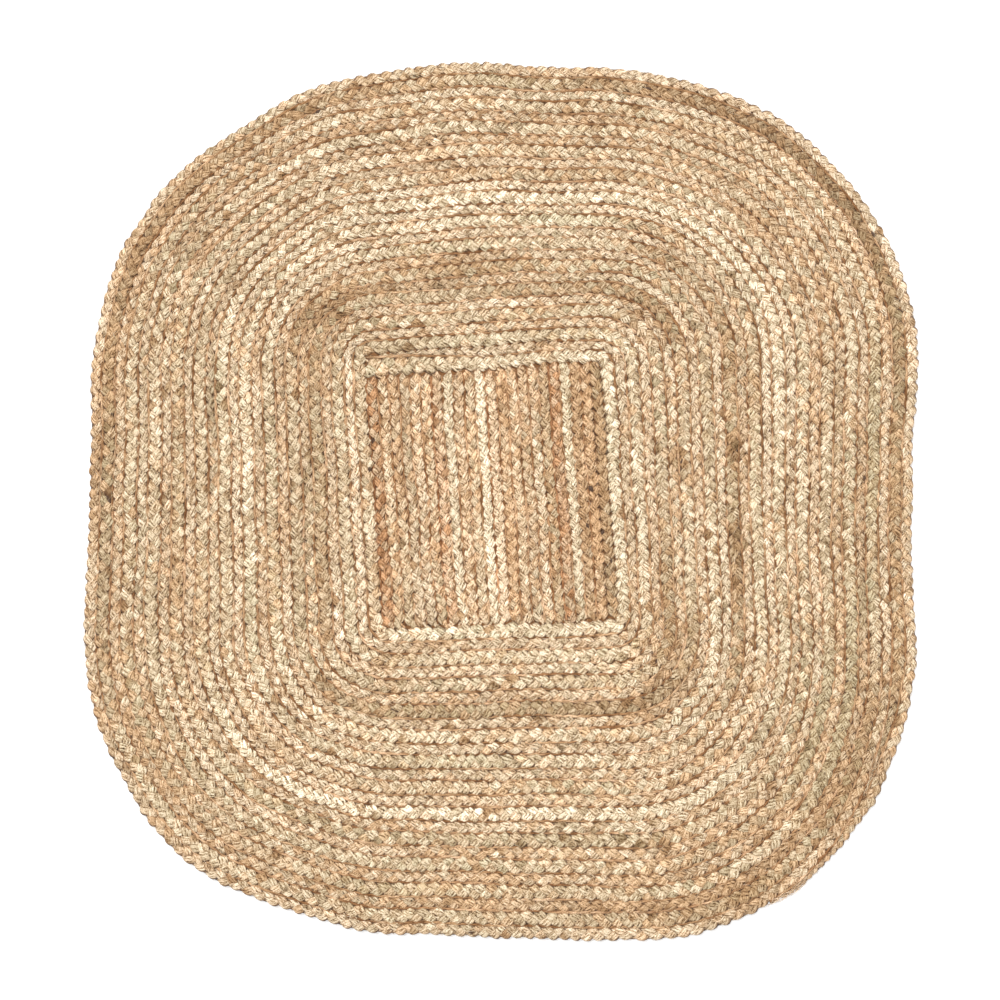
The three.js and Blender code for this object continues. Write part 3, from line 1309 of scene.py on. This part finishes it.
@dataclass(frozen=True)
class ShadeChange:
    """How the fibre's shade differs from strand to strand, slowly along each one, and from pass to pass.

    Warmer fibre is a little lighter too, and fibre darkened by its light a little warmer. A few passes, whose
    random value is past stain_from, are stained.
    """

    strand: float = 0.16
    long: Change = Change(0.37, 230)
    short: Change = Change(0.3, 50)
    by_pass: float = 0.2
    grey: Change = Change(1.6, 170)
    grey_from: float = 0.5
    usual_light: float = 0.945
    long_light: Change = Change(0.12, 240)
    short_light: Change = Change(0.1, 45)
    pass_light: float = 0.03
    warmth_of_dark: float = 0.6
    light_of_warm: float = 0.38
    stain_from: float = 1.5
    stain_most: float = 0.5
    stain_warmth: float = 1.4
    stain_darkness: float = 0.8


@dataclass(frozen=True)
class PaintedGrooveShade:
    """Painted shade in the grooves between the strands, from a height above the braid's middle down, in mm.

    A strand's rim gets painted shade too, from rim_from of its half width outwards.
    """

    # Painted shade: these set where grooves and strand rims are painted darker
    top: float = 1.6
    reach: float = 4.0
    rim_from: float = 0.74
    rim_depths: tuple[float, float] = (0.05, 1.15)
    crispness: float = 0.82
    change: Change = Change(0.4, 60)


@dataclass
class Braid:
    """One braid of three strands along a route.

    Its ends dip by the tuck, over the tuck's length. Its grooves get their full painted shade at a strength
    of 1.
    """

    route: Route
    shape: StrandShape
    rng: np.random.Generator
    base_height: float = 4.5
    mean_tone: float = 0.4
    grey_share: float = 0.5
    brightness: float = 1.0
    tone: Tone | None = None
    tuck: float = 0.0
    tuck_length: float = 7.0
    # How strongly the grooves and rims get their painted shade
    painted_shade_strength: float = 1.0
    plait: PlaitChange = PlaitChange()
    shade: ShadeChange = ShadeChange()
    groove: PaintedGrooveShade = PaintedGrooveShade()
    phase: np.ndarray = field(init=False)
    shaped: list[ShapedStrand] = field(default_factory=list, init=False)

    STRANDS = 3

    def __post_init__(self) -> None:
        """Works out how the repeat runs along the braid."""
        along = self.route.along
        uneven = self.plait.long_repeat.at(self.rng, along) + self.plait.short_repeat.at(self.rng, along)
        period = self.shape.periods(self.route.widths) * (1 + uneven)
        turns = np.concatenate([[0.0], np.cumsum(np.diff(along) / period[1:])])
        self.phase = 2 * math.pi * (turns + self.rng.uniform(0, 1))

    def ring_angles(self, index: int) -> tuple[np.ndarray, np.ndarray]:
        """Works out where one strand's rings stand.

        Args:
            index: Which of the three strands.

        Returns:
            The angle in the repeat at each ring, and the distance along the route.
        """
        shift = 2 * math.pi * index / self.STRANDS
        first = math.ceil((self.phase[0] + shift) / math.pi)
        last = math.floor((self.phase[-1] + shift) / math.pi)
        halves = np.arange(first - 1, last + 1)[:, None]
        theta = ((halves + np.array(self.shape.stations)) * math.pi).reshape(-1)
        theta = theta[(theta > self.phase[0] + shift) & (theta < self.phase[-1] + shift)]
        theta = np.concatenate([[self.phase[0] + shift], theta, [self.phase[-1] + shift]])
        return theta, np.interp(theta - shift, self.phase, self.route.along)

    def by_pass(self, theta: np.ndarray, spread: float) -> np.ndarray:
        """A random value for each time that a strand passes over the others, blended between passes.

        Args:
            theta: Angles in the repeat.
            spread: Size of the values.

        Returns:
            Values at each angle, mostly within the spread.
        """
        place = theta / math.pi - self.plait.first_pass
        place = place - math.floor(place[0])
        most = self.plait.most
        values = np.clip(self.rng.normal(size=int(place[-1]) + 3), -most, most) * spread
        return np.interp(place, np.arange(len(values)), values)

    def rings(self, theta: np.ndarray, along: np.ndarray) -> tuple[np.ndarray, np.ndarray]:
        """Shapes one strand.

        Args:
            theta: Angle in the repeat at each ring.
            along: Distance of each ring along the route.

        Returns:
            Places of the rings' points, (rings, sides, 3), and the strand's middle line, (rings, 3).
        """
        shape, plait = self.shape, self.plait
        flat, across, width = self.route.at(along)
        scale = (width + shape.overlap) / shape.usual_width
        half_width, half_height = shape.half_sizes(theta, scale)
        uneven = self.by_pass(theta, plait.pass_width) + plait.width.at(self.rng, along)
        half_width = half_width * (1 + uneven)
        half_height = half_height * (1 + self.by_pass(theta, plait.pass_height))
        reach = (shape.usual_width / 2 - shape.edge_half_height) * scale
        sideways = reach * shape.sideways(theta) * (1 + self.by_pass(theta, plait.pass_reach))
        ends = np.minimum(along, self.route.length - along)
        sunk = self.tuck * (1 - soft_step(ends / self.tuck_length))
        lift = shape.lift * np.clip(scale, 0, shape.highest_lift) * shape.height(theta)
        high = self.base_height + lift + self.by_pass(theta, plait.pass_lift) - sunk
        middle = np.concatenate([flat + across * sideways[:, None], high[:, None]], axis=1)
        forward = unit(np.gradient(middle, axis=0))
        fold = shape.fold(theta) + self.by_pass(theta, plait.pass_fold)
        heading = -left_of(across)
        plan = heading * np.cos(fold)[:, None] + across * np.sin(fold)[:, None]
        wide = np.concatenate([plan, np.zeros((len(plan), 1))], axis=1)
        thin = unit(np.cross(forward, wide))
        out, up = np.array(shape.ring).T
        ring = wide[:, None] * (half_width[:, None] * out)[..., None]
        ring = ring + thin[:, None] * (half_height[:, None] * up)[..., None]
        places = middle[:, None] + ring
        places[..., 2] = np.clip(places[..., 2], 0.0, None)
        return places, middle

    def fibre_record(self, theta: np.ndarray, along: np.ndarray, flat: np.ndarray) -> np.ndarray:
        """Records the fibre's shade along one strand.

        Args:
            theta: Angle in the repeat at each ring.
            along: Distance of each ring along the route.
            flat: Flat place of each ring, in mm.

        Returns:
            Warmth, greyness, brightness and bark at each ring, (rings, 4).
        """
        rng, shade = self.rng, self.shade
        change = shade.strand * rng.uniform(-1, 1) + shade.long.at(rng, along)
        change = change + shade.short.at(rng, along) + self.by_pass(theta, shade.by_pass)
        grey = self.grey_share * np.clip(shade.grey.at(rng, along) - shade.grey_from, 0, 1)
        light = shade.usual_light + shade.long_light.at(rng, along) + shade.short_light.at(rng, along)
        light = light + self.by_pass(theta, shade.pass_light)
        warmth = self.mean_tone + change + shade.warmth_of_dark * (shade.usual_light - light)
        brightness = self.brightness * light * (1 + shade.light_of_warm * change)
        stain = np.clip(self.by_pass(theta, 1.0) - shade.stain_from, 0, shade.stain_most)
        warmth = warmth + shade.stain_warmth * stain
        brightness = brightness * (1 - shade.stain_darkness * stain)
        fibre = Fibre(warmth, grey, brightness, np.zeros(len(theta)))
        for place in MARKED_PLACES:
            fibre.add(place.mark, place.share_at(flat))
        laps = np.interp(along, self.route.along, self.route.laps)
        for stretch in STRETCHES:
            if stretch.tone is self.tone:
                fibre.add(stretch.mark, stretch.share_at(laps))
        return fibre.values()

    def add_to(self, mesh: MeshData, start: float = 0.0, end: float = math.inf) -> None:
        """Adds the three strands, or a stretch of them, to a mesh.

        Args:
            mesh: The mesh that takes them.
            start: Distance along the route where the stretch starts, in mm.
            end: Distance where it ends.
        """
        girth = self.shape.girth()
        for strand in self.strands():
            keep = np.flatnonzero((strand.along >= start) & (strand.along < end))
            if len(keep) < 2:
                continue
            if keep[-1] + 1 < len(strand.along):
                keep = np.append(keep, keep[-1] + 1)
            length = strand.length[keep] - strand.length[keep[0]]
            fibre, depth = strand.fibre[keep], strand.depth[keep]
            mesh.add_tube(strand.places[keep], length, girth, strand.offset, fibre, depth)

    def painted_shade_depth(self, along: np.ndarray, places: np.ndarray) -> np.ndarray:
        """How deep each point of a strand lies in the grooves between the strands, which sets how much
        painted shade it gets.

        Args:
            along: Distances along the route, in mm.
            places: Points of each ring.

        Returns:
            Depths from 0 to about 1, (rings, points); a strand's rim counts as deep, so that it is painted
            darker too.
        """
        groove = self.groove
        sunk = np.clip((self.base_height + groove.top - places[..., 2]) / groove.reach, 0, 1)
        rim = np.interp(np.abs(np.array(self.shape.ring)[:, 0]), (groove.rim_from, 1.0), groove.rim_depths)
        crispness = self.painted_shade_strength * (groove.crispness + groove.change.at(self.rng, along))
        # Painted shade: sunk points and the strands' rims are darkened in the colour
        return crispness[:, None] * np.maximum(sunk, rim)

    def strands(self) -> list[ShapedStrand]:
        """Shapes all three strands, once.

        Returns:
            The strands.
        """
        if not self.shaped:
            for index in range(self.STRANDS):
                theta, along = self.ring_angles(index)
                places, middle = self.rings(theta, along)
                steps = np.linalg.norm(np.diff(middle, axis=0), axis=1)
                length = np.concatenate([[0.0], np.cumsum(steps)])
                fibre = self.fibre_record(theta, along, middle[:, :2])
                offset = float(self.rng.uniform(0, PATTERN_STARTS))
                depth = self.painted_shade_depth(along, places)
                self.shaped.append(ShapedStrand(along, length, places, fibre, depth, offset))
        return self.shaped


@dataclass(frozen=True)
class LooseFibres:
    """Stray fibres of one kind along a braid: over it, out of its edge or out of its end.

    Offsets count in half widths of the braid to its left, lifts in shares of the rise, and the rest in mm
    and degrees. A fibre bows in plan by up to a share of its length, and thins towards both ends.
    """

    spacing: float
    lengths: tuple[float, float]
    offsets: tuple[float, float]
    turn: float
    radius: float
    end_height: float
    rise: float
    bow: float = 0.25
    segments: int = 3
    warmth: tuple[float, float] = (0.0, 1.0)
    brightness: tuple[float, float] = (0.75, 1.35)
    grey: tuple[float, float] = (0.0, 0.3)
    bark: float = 0.0
    lifts: tuple[float, float] = (0.3, 1.0)
    taper: float = 0.75

    SIDES = 3

    def add_to(
        self, mesh: MeshData, braid: Braid, rng: np.random.Generator, start: float, end: float
    ) -> None:
        """Adds the fibres along a stretch of a braid to its mesh.

        Args:
            mesh: The mesh that takes them.
            braid: The braid.
            rng: Seeded source of their places.
            start: Distance along the braid where they start, in mm.
            end: Distance where they end.
        """
        count = int((end - start) / self.spacing)
        turns, bows = (-self.turn, self.turn), (-self.bow, self.bow)
        ranges = ((start, end), self.offsets, self.lengths, turns, bows, self.lifts)
        at, offset, length, turn, bow, lift = (rng.uniform(*limits, count)[:, None] for limits in ranges)
        # Along each fibre, from minus a half to a half, so that 0.25 - share**2 is 0 at both ends
        share = np.linspace(-0.5, 0.5, self.segments + 1)[None]
        along = at + length * np.cos(np.radians(turn)) * share
        inside = np.clip(along, 0, braid.route.length)
        flat, across, width = (part.reshape(*along.shape, -1) for part in braid.route.at(inside.reshape(-1)))
        bent = np.sin(np.radians(turn)) * share + bow * (share**2 - 0.25)
        aside = offset * width[..., 0] / 2 + length * bent
        high = self.end_height + self.rise * lift * (1 - 4 * share**2)
        heading = -left_of(across)
        flat = flat + across * aside[..., None] + heading * (along - inside)[..., None]
        middle = np.concatenate([flat, high[..., None]], axis=-1)
        forward = unit(np.gradient(middle, axis=1))
        wide = unit(np.cross(UP, forward))
        thin = np.cross(forward, wide)
        phi = np.arange(self.SIDES) * 2 * math.pi / self.SIDES + math.pi / 2
        radius = self.radius * (1 - self.taper * (2 * share) ** 2)[..., None, None]
        ring = wide[:, :, None] * np.cos(phi)[:, None] + thin[:, :, None] * np.sin(phi)[:, None]
        places = middle[:, :, None] + ring * radius
        shade = [rng.uniform(*limits, count) for limits in (self.warmth, self.grey, self.brightness)]
        girth = 2 * math.pi * self.radius
        depth = np.zeros(places.shape[1:3])
        for index in range(count):
            fibre = np.tile([*(values[index] for values in shade), self.bark], (self.segments + 1, 1))
            ring_along = (share[0] + 0.5) * length[index]
            mesh.add_tube(places[index], ring_along, girth, rng.uniform(0, PATTERN_STARTS), fibre, depth)


FUZZ = LooseFibres(
    spacing=15.0, lengths=(6.0, 20.0), offsets=(-0.95, 0.95), turn=40.0, radius=0.2, end_height=7.8, rise=2.0,
    bow=0.4,
)
OUTLINE_FUZZ = LooseFibres(
    spacing=10.0, lengths=(4.0, 11.0), offsets=(0.85, 1.05), turn=55.0, radius=0.2, end_height=3.6, rise=2.4
)
END_FRIZZ = LooseFibres(
    spacing=1.1, lengths=(10.0, 24.0), offsets=(-1.2, 1.2), turn=20.0, radius=0.33, end_height=6.4, rise=3.2,
    bow=0.3, segments=6, warmth=(0.5, 1.0), brightness=(1.0, 1.5),
)
BARK_BITS = LooseFibres(
    spacing=48.0, lengths=(1.4, 4.5), offsets=(-0.9, 0.9), turn=50.0, radius=0.5, end_height=8.4, rise=0.5,
    bow=0.2, segments=2, brightness=(0.8, 1.2), bark=0.85,
)


@dataclass(frozen=True)
class SeamYarn:
    """The packed fibre and sewing yarn in the seam on a braid's outer side, as one long cord."""

    height: float = 6.5
    radius: float = 1.55
    step: float = 7.0
    sides: int = 6
    warmth: float = 1.0
    brightness: float = 1.7
    # The cord takes the grooves' deep tint and painted shade at this share, and its high brightness makes up
    # for the darkening
    depth: float = 0.65
    place_change: Change = Change(0.25, 16)
    height_change: Change = Change(0.5, 45)
    radius_change: Change = Change(0.25, 13)
    warmth_change: Change = Change(0.3, 30)
    brightness_change: Change = Change(0.2, 22)
    depth_change: Change = Change(0.3, 18)

    def add_to(
        self, mesh: MeshData, braid: Braid, rng: np.random.Generator, start: float, end: float
    ) -> None:
        """Adds the cord along a stretch of a braid to its mesh.

        Args:
            mesh: The mesh that takes it.
            braid: The braid.
            rng: Seeded source of its unevenness.
            start: Distance along the braid where it starts, in mm.
            end: Distance where it ends.
        """
        along = np.linspace(start, end, int((end - start) / self.step) + 2)
        run = along - start
        flat, across, width = braid.route.at(along)
        flat = flat + across * (width / 2 + self.place_change.at(rng, run))[:, None]
        high = self.height + self.height_change.at(rng, run)
        radius = self.radius * (1 + self.radius_change.at(rng, run))
        phi = np.arange(self.sides) * 2 * math.pi / self.sides
        sideways = radius[:, None] * np.cos(phi)
        places = np.empty((len(along), self.sides, 3))
        places[..., :2] = flat[:, None] + across[:, None] * sideways[..., None]
        places[..., 2] = high[:, None] + radius[:, None] * np.sin(phi)
        warmth = self.warmth + self.warmth_change.at(rng, run)
        brightness = self.brightness * (1 + self.brightness_change.at(rng, run))
        none = np.zeros(len(along))
        fibre = Fibre(warmth, none, brightness, none).values()
        depth = np.repeat(self.depth + self.depth_change.at(rng, run), self.sides).reshape(len(along), -1)
        girth = 2 * math.pi * self.radius
        mesh.add_tube(places, run, girth, rng.uniform(0, PATTERN_STARTS), fibre, depth)


SEAM_YARN = SeamYarn()


@dataclass
class CentrePanel:
    """Straight braids side by side between a front edge and a back edge.

    The looks are each row's warmth and brightness, from the left. A row brighter than 1 has fainter painted
    shade in its grooves.
    """

    corners: Corners = Corners()
    rows: int = 22
    row_end: float = 1.2
    points_a_row: int = 280
    tuck: float = 1.2
    seam_inset: float = 2.0
    painted_shade_loss: float = 2.5
    shape: StrandShape = StrandShape(
        usual_width=12.2, overlap=1.7, pass_half_width=4.8, edge_half_width=6.4, pinch=-0.04,
        fold_degrees=40.0,
    )
    looks: tuple[tuple[float, float], ...] = (
        (0.6, 0.96), (0.4, 1.02), (0.5, 0.96), (0.5, 0.96), (0.5, 1.0), (0.6, 1.06),
        (0.4, 0.98), (0.15, 1.12), (0.5, 1.02), (0.4, 1.08), (0.05, 1.18), (0.0, 1.08),
        (0.7, 1.1), (0.6, 1.12), (0.7, 0.98), (0.5, 1.06), (0.6, 0.96), (0.5, 0.98),
        (0.2, 1.08), (0.9, 0.95), (0.85, 0.96), (0.9, 0.9),
    )
    tones: tuple[Tone, ...] = (
        Tone.RUST, Tone.STRAW, Tone.STRAW, Tone.TAN, Tone.TAN, Tone.STRAW,
        Tone.RUST, Tone.PALE, Tone.TAN, Tone.STRAW, Tone.PALE,
    )

    def row_route(self, index: int) -> Route:
        """Draws one row's line, from front to back.

        Args:
            index: The row's number, from the left.

        Returns:
            The row's route.
        """
        share = (index + 0.5) / self.rows
        back_left, back_right, front_right, front_left = self.corners.places()
        front = front_left * (1 - share) + front_right * share
        back = back_left * (1 - share) + back_right * share
        inset = unit(back - front) * self.row_end
        steps = np.linspace(0, 1, self.points_a_row)[:, None]
        points = (front + inset) * (1 - steps) + (back - inset) * steps
        front_width = np.linalg.norm(front_right - front_left) / self.rows
        back_width = np.linalg.norm(back_right - back_left) / self.rows
        return smooth_route(points, np.linspace(front_width, back_width, len(points)), np.zeros(len(points)))

    def build(self, materials: dict[Tone, bpy.types.Material]) -> list[bpy.types.Object]:
        """Builds every row.

        Args:
            materials: The finishes by tone.

        Returns:
            One piece for each row.
        """
        pieces = []
        for index in range(self.rows):
            tone = self.tones[index % len(self.tones)]
            rng = np.random.default_rng([SEED, PANEL_SEED, index])
            warmth, brightness = self.looks[index]
            # Brighter rows get less painted shade in their grooves
            painted_shade_strength = min(1.0, 1.0 - self.painted_shade_loss * (brightness - 1.0))
            braid = Braid(
                self.row_route(index), self.shape, rng, mean_tone=warmth, brightness=brightness,
                tuck=self.tuck, painted_shade_strength=painted_shade_strength,
            )
            mesh = MeshData()
            braid.add_to(mesh)
            FUZZ.add_to(mesh, braid, rng, 0, braid.route.length)
            BARK_BITS.add_to(mesh, braid, rng, 0, braid.route.length)
            if index < self.rows - 1:
                SEAM_YARN.add_to(mesh, braid, rng, self.seam_inset, braid.route.length - self.seam_inset)
            piece = mesh.build(f"centre_row_{index + 1:02d}")
            dress(piece, materials[tone], f"centre_braid_{index + 1:02d}")
            pieces.append(piece)
        return pieces


@dataclass
class WoundBraid:
    """One of the two long braids, built as a few pieces that follow each other.

    Its seam starts at seam_from, in mm. The braid that makes the rug's outline has no seam in its last lap.
    """

    tone: Tone
    name: str
    node: str
    shape: StrandShape
    seed: int
    stretches: int = 3
    frizz_length: float = 40.0
    base_height: float = 4.5
    mean_tone: float = 0.4
    grey_share: float = 0.45
    seam_from: float = 0.0
    outline: bool = False

    def build(self, winding: Winding, material: bpy.types.Material) -> list[bpy.types.Object]:
        """Builds the braid.

        Args:
            winding: The way it is wound.
            material: Its finish.

        Returns:
            Its pieces, from the centre outwards.
        """
        rng = np.random.default_rng([SEED, WOUND_SEED, self.seed])
        route = winding.route(self.tone)
        braid = Braid(
            route, self.shape, rng, base_height=self.base_height, mean_tone=self.mean_tone,
            grey_share=self.grey_share, tone=self.tone,
        )
        log.info("%s is %.2f m long", self.name, route.length * MM)
        last_lap = float(route.along[route.laps > route.laps[-1] - 1][0])
        pieces = []
        for index in range(self.stretches):
            mesh = MeshData()
            start, end = (route.length * share / self.stretches for share in (index, index + 1))
            braid.add_to(mesh, start, end)
            FUZZ.add_to(mesh, braid, rng, start, end)
            BARK_BITS.add_to(mesh, braid, rng, start, end)
            seam_end = min(end, last_lap) if self.outline else end
            SEAM_YARN.add_to(mesh, braid, rng, max(start, self.seam_from), seam_end)
            if index == self.stretches - 1:
                END_FRIZZ.add_to(mesh, braid, rng, route.length - self.frizz_length, route.length)
                if self.outline:
                    OUTLINE_FUZZ.add_to(mesh, braid, rng, last_lap, end)
            piece = mesh.build(f"{self.name}_{index + 1}")
            dress(piece, material, self.node)
            pieces.append(piece)
        return pieces


@dataclass
class BarkFlecks:
    """The larger flecks of dark bark, lying on the strands where MARKED_PLACES has them.

    A fleck narrows towards its ends, to end_share of its breadth, and its sides are ragged.
    """

    height: float = 8.3
    thickness: float = 1.3
    rings: int = 5
    sides: int = 6
    end_share: float = 0.2
    ragged: float = 0.25
    ragged_turns: float = 5.0
    girth_share: float = 2.5
    pattern_step: float = 3.1
    fibre: tuple[float, float, float, float] = (0.6, 0.0, 1.0, 0.92)

    def build(self, material: bpy.types.Material) -> bpy.types.Object:
        """Builds the flecks.

        Args:
            material: The finish of the fibre that they are stuck to.

        Returns:
            The piece.
        """
        mesh = MeshData()
        share = np.linspace(-1, 1, self.rings)
        phi = np.arange(self.sides) * 2 * math.pi / self.sides
        fibre = np.tile(self.fibre, (self.rings, 1))
        depth = np.zeros((self.rings, self.sides))
        for index, place in enumerate(p for p in MARKED_PLACES if p.mark is Mark.BARK):
            angle = math.radians(place.degrees)
            heading = np.array([math.cos(angle), math.sin(angle), 0.0])
            side = np.array([-heading[1], heading[0], 0.0])
            middle = np.array([place.x, place.y, self.height]) + heading * (share * place.length / 2)[:, None]
            bulge = np.sqrt(1 - np.abs(share)) * (1 + self.ragged * np.sin(self.ragged_turns * share + index))
            taper = self.end_share + (1 - self.end_share) * bulge
            across = side * (np.cos(phi) * place.breadth / 2)[:, None]
            up = UP * (np.sin(phi) * self.thickness / 2)[:, None]
            places = middle[:, None] + (across + up)[None] * taper[:, None, None]
            length = (share + 1) * place.length / 2
            girth, offset = self.girth_share * place.breadth, self.pattern_step * index
            mesh.add_tube(places, length, girth, offset, fibre, depth)
        piece = mesh.build("bark_flecks")
        piece.data.materials.append(material)
        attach(piece, BODY)
        return piece


@dataclass
class SewnGround:
    """The packed fibre and sewing yarn at the bottom of the seams: a thin sheet at half height."""

    inset: float = 7.0
    low: float = 4.6
    high: float = 5.4
    around: int = 192
    rings: int = 10
    colour: tuple[float, float, float] = srgb(160, 112, 70)
    darker: float = 0.5
    grain: float = 220.0
    grain_detail: float = 3.0
    roughness: float = 0.95

    def material(self) -> bpy.types.Material:
        """Makes the ground's dark, matt fibre.

        Returns:
            The material.
        """
        finish = bpy.data.materials.new("sewn_ground")
        finish.use_nodes = True
        tree = finish.node_tree
        wiring = Wiring(tree)
        shader = tree.nodes["Principled BSDF"].inputs
        place = tree.nodes.new("ShaderNodeTexCoord")
        noise = tree.nodes.new("ShaderNodeTexNoise")
        wiring.feed(noise.inputs["Scale"], self.grain)
        wiring.feed(noise.inputs["Detail"], self.grain_detail)
        wiring.feed(noise.inputs["Vector"], place.outputs["Object"])
        dark = tuple(self.darker * channel for channel in self.colour)
        wiring.feed(shader["Base Color"], wiring.mix(noise.outputs["Fac"], (*dark, 1.0), (*self.colour, 1.0)))
        wiring.feed(shader["Roughness"], self.roughness)
        return finish

    def build(self, winding: Winding) -> bpy.types.Object:
        """Builds the ground.

        Args:
            winding: The way the outer braids run, which gives its outline.

        Returns:
            The piece.
        """
        edge = winding.outline(self.inset, self.around)
        middle = edge.mean(axis=0)
        shares = np.linspace(0, 1, self.rings + 1)[1:]
        flat = np.concatenate([middle[None], *(middle + (edge - middle) * share for share in shares)])
        count = len(flat)
        top = np.concatenate([flat, np.full((count, 1), self.high)], axis=1)
        under = np.concatenate([flat, np.full((count, 1), self.low)], axis=1)
        here = np.arange(self.around)
        there = (here + 1) % self.around
        faces = [(0, 1 + b, 1 + a) for a, b in zip(here, there)]
        for ring in range(self.rings - 1):
            a, b = 1 + ring * self.around, 1 + (ring + 1) * self.around
            faces += [(a + i, a + j, b + j, b + i) for i, j in zip(here, there)]
        faces += [tuple(count + i for i in reversed(face)) for face in faces]
        rim = 1 + (self.rings - 1) * self.around
        faces += [(rim + i, rim + j, count + rim + j, count + rim + i) for i, j in zip(here, there)]
        mesh = bpy.data.meshes.new("sewn_ground")
        mesh.from_pydata((np.concatenate([top, under]) * MM).tolist(), [], faces)
        mesh.materials.append(self.material())
        piece = bpy.data.objects.new("sewn_ground", mesh)
        bpy.context.scene.collection.objects.link(piece)
        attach(piece, BODY)
        return piece


@dataclass
class Studio:
    """Plain floor, soft light from the back left, and a camera straight above.

    Lens and sensor are in mm, angles in degrees, and sizes and places in metres.
    """

    floor_side: float = 6.0
    seen_width: float = 1.05
    lens: float = 85.0
    sensor: float = 36.0
    rug_height: float = 8.5 * MM
    view_x: float = -0.77 * MM
    view_y: float = 1.94 * MM
    world_strength: float = 0.8
    key_energy: float = 1.6
    key_softness: float = 22.0
    key_turn: tuple[float, float, float] = (-28.0, -16.0, 0.0)
    paint_grey: float = 0.9
    paint_roughness: float = 0.8
    paint_glow: float = 0.35

    def build(self) -> None:
        """Builds the floor, the lights and the camera."""
        scene = bpy.context.scene
        scene.view_settings.view_transform = "Standard"
        floor = self.floor()
        self.light()
        eye = bpy.data.cameras.new("camera")
        eye.lens = self.lens
        eye.sensor_width = self.sensor
        camera = bpy.data.objects.new("camera", eye)
        distance = self.seen_width * self.lens / self.sensor
        camera.location = (self.view_x, self.view_y, self.rug_height + distance)
        scene.collection.objects.link(camera)
        scene.camera = camera

    def floor(self) -> bpy.types.Object:
        """Lays the white floor, which glows a little, as a brightly lit backdrop does.

        Returns:
            The floor.
        """
        half = self.floor_side / 2
        corners = [(-half, -half, 0), (half, -half, 0), (half, half, 0), (-half, half, 0)]
        mesh = bpy.data.meshes.new("floor")
        mesh.from_pydata(corners, [], [(0, 1, 2, 3)])
        floor = bpy.data.objects.new("floor", mesh)
        bpy.context.scene.collection.objects.link(floor)
        paint = bpy.data.materials.new("floor_paint")
        paint.use_nodes = True
        shader = paint.node_tree.nodes["Principled BSDF"].inputs
        shader["Base Color"].default_value = (self.paint_grey, self.paint_grey, self.paint_grey, 1)
        shader["Roughness"].default_value = self.paint_roughness
        shader["Emission Color"].default_value = (1, 1, 1, 1)
        shader["Emission Strength"].default_value = self.paint_glow
        mesh.materials.append(paint)
        return floor

    def light(self) -> None:
        """Lights the room evenly, with one soft lamp from the back left."""
        world = bpy.data.worlds.new("soft_room")
        world.use_nodes = True
        room = world.node_tree.nodes["Background"].inputs
        room["Strength"].default_value = self.world_strength
        room["Color"].default_value = (1, 1, 1, 1)
        bpy.context.scene.world = world
        lamp = bpy.data.lights.new("key", "SUN")
        lamp.energy = self.key_energy
        lamp.angle = math.radians(self.key_softness)
        key = bpy.data.objects.new("key", lamp)
        key.rotation_euler = [math.radians(degrees) for degrees in self.key_turn]
        bpy.context.scene.collection.objects.link(key)


def dress(piece: bpy.types.Object, material: bpy.types.Material, node: str) -> None:
    """Gives a braid's piece its finish, hangs it on the body and hides the CAD part that it replaces.

    Args:
        piece: The piece.
        material: Its finish.
        node: The CAD node that it replaces.
    """
    piece.data.materials.append(material)
    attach(piece, BODY)
    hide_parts(node)


def main() -> None:
    """Builds the rug and the studio in order, and reports each piece."""
    logging.basicConfig(level=logging.INFO, format="%(message)s")
    Studio().build()
    groups = NodeGroups()
    materials = {finish.tone: finish.material(groups) for finish in FINISHES}
    winding = Winding()
    pieces = CentrePanel().build(materials)
    pale = WoundBraid(Tone.PALE, "pale_braid", "wound_braid_pale", StrandShape(), seed=10)
    pieces += pale.build(winding, materials[Tone.PALE])
    tan_shape = StrandShape(usual_width=12.6, period=41.0, lift=2.4, fold_degrees=50.0)
    tan = WoundBraid(
        Tone.TAN, "tan_braid", "wound_braid_tan", tan_shape, seed=9, base_height=4.3, mean_tone=0.42,
        grey_share=0.4, seam_from=200.0, outline=True,
    )
    pieces += tan.build(winding, materials[Tone.TAN])
    pieces.append(BarkFlecks().build(materials[Tone.TAN]))
    ground = SewnGround().build(winding)
    for piece in [*pieces, ground]:
        triangles = sum(len(face.vertices) - 2 for face in piece.data.polygons)
        log.info("%s has %d triangles", piece.name, triangles)


if __name__ == "__main__":
    main()
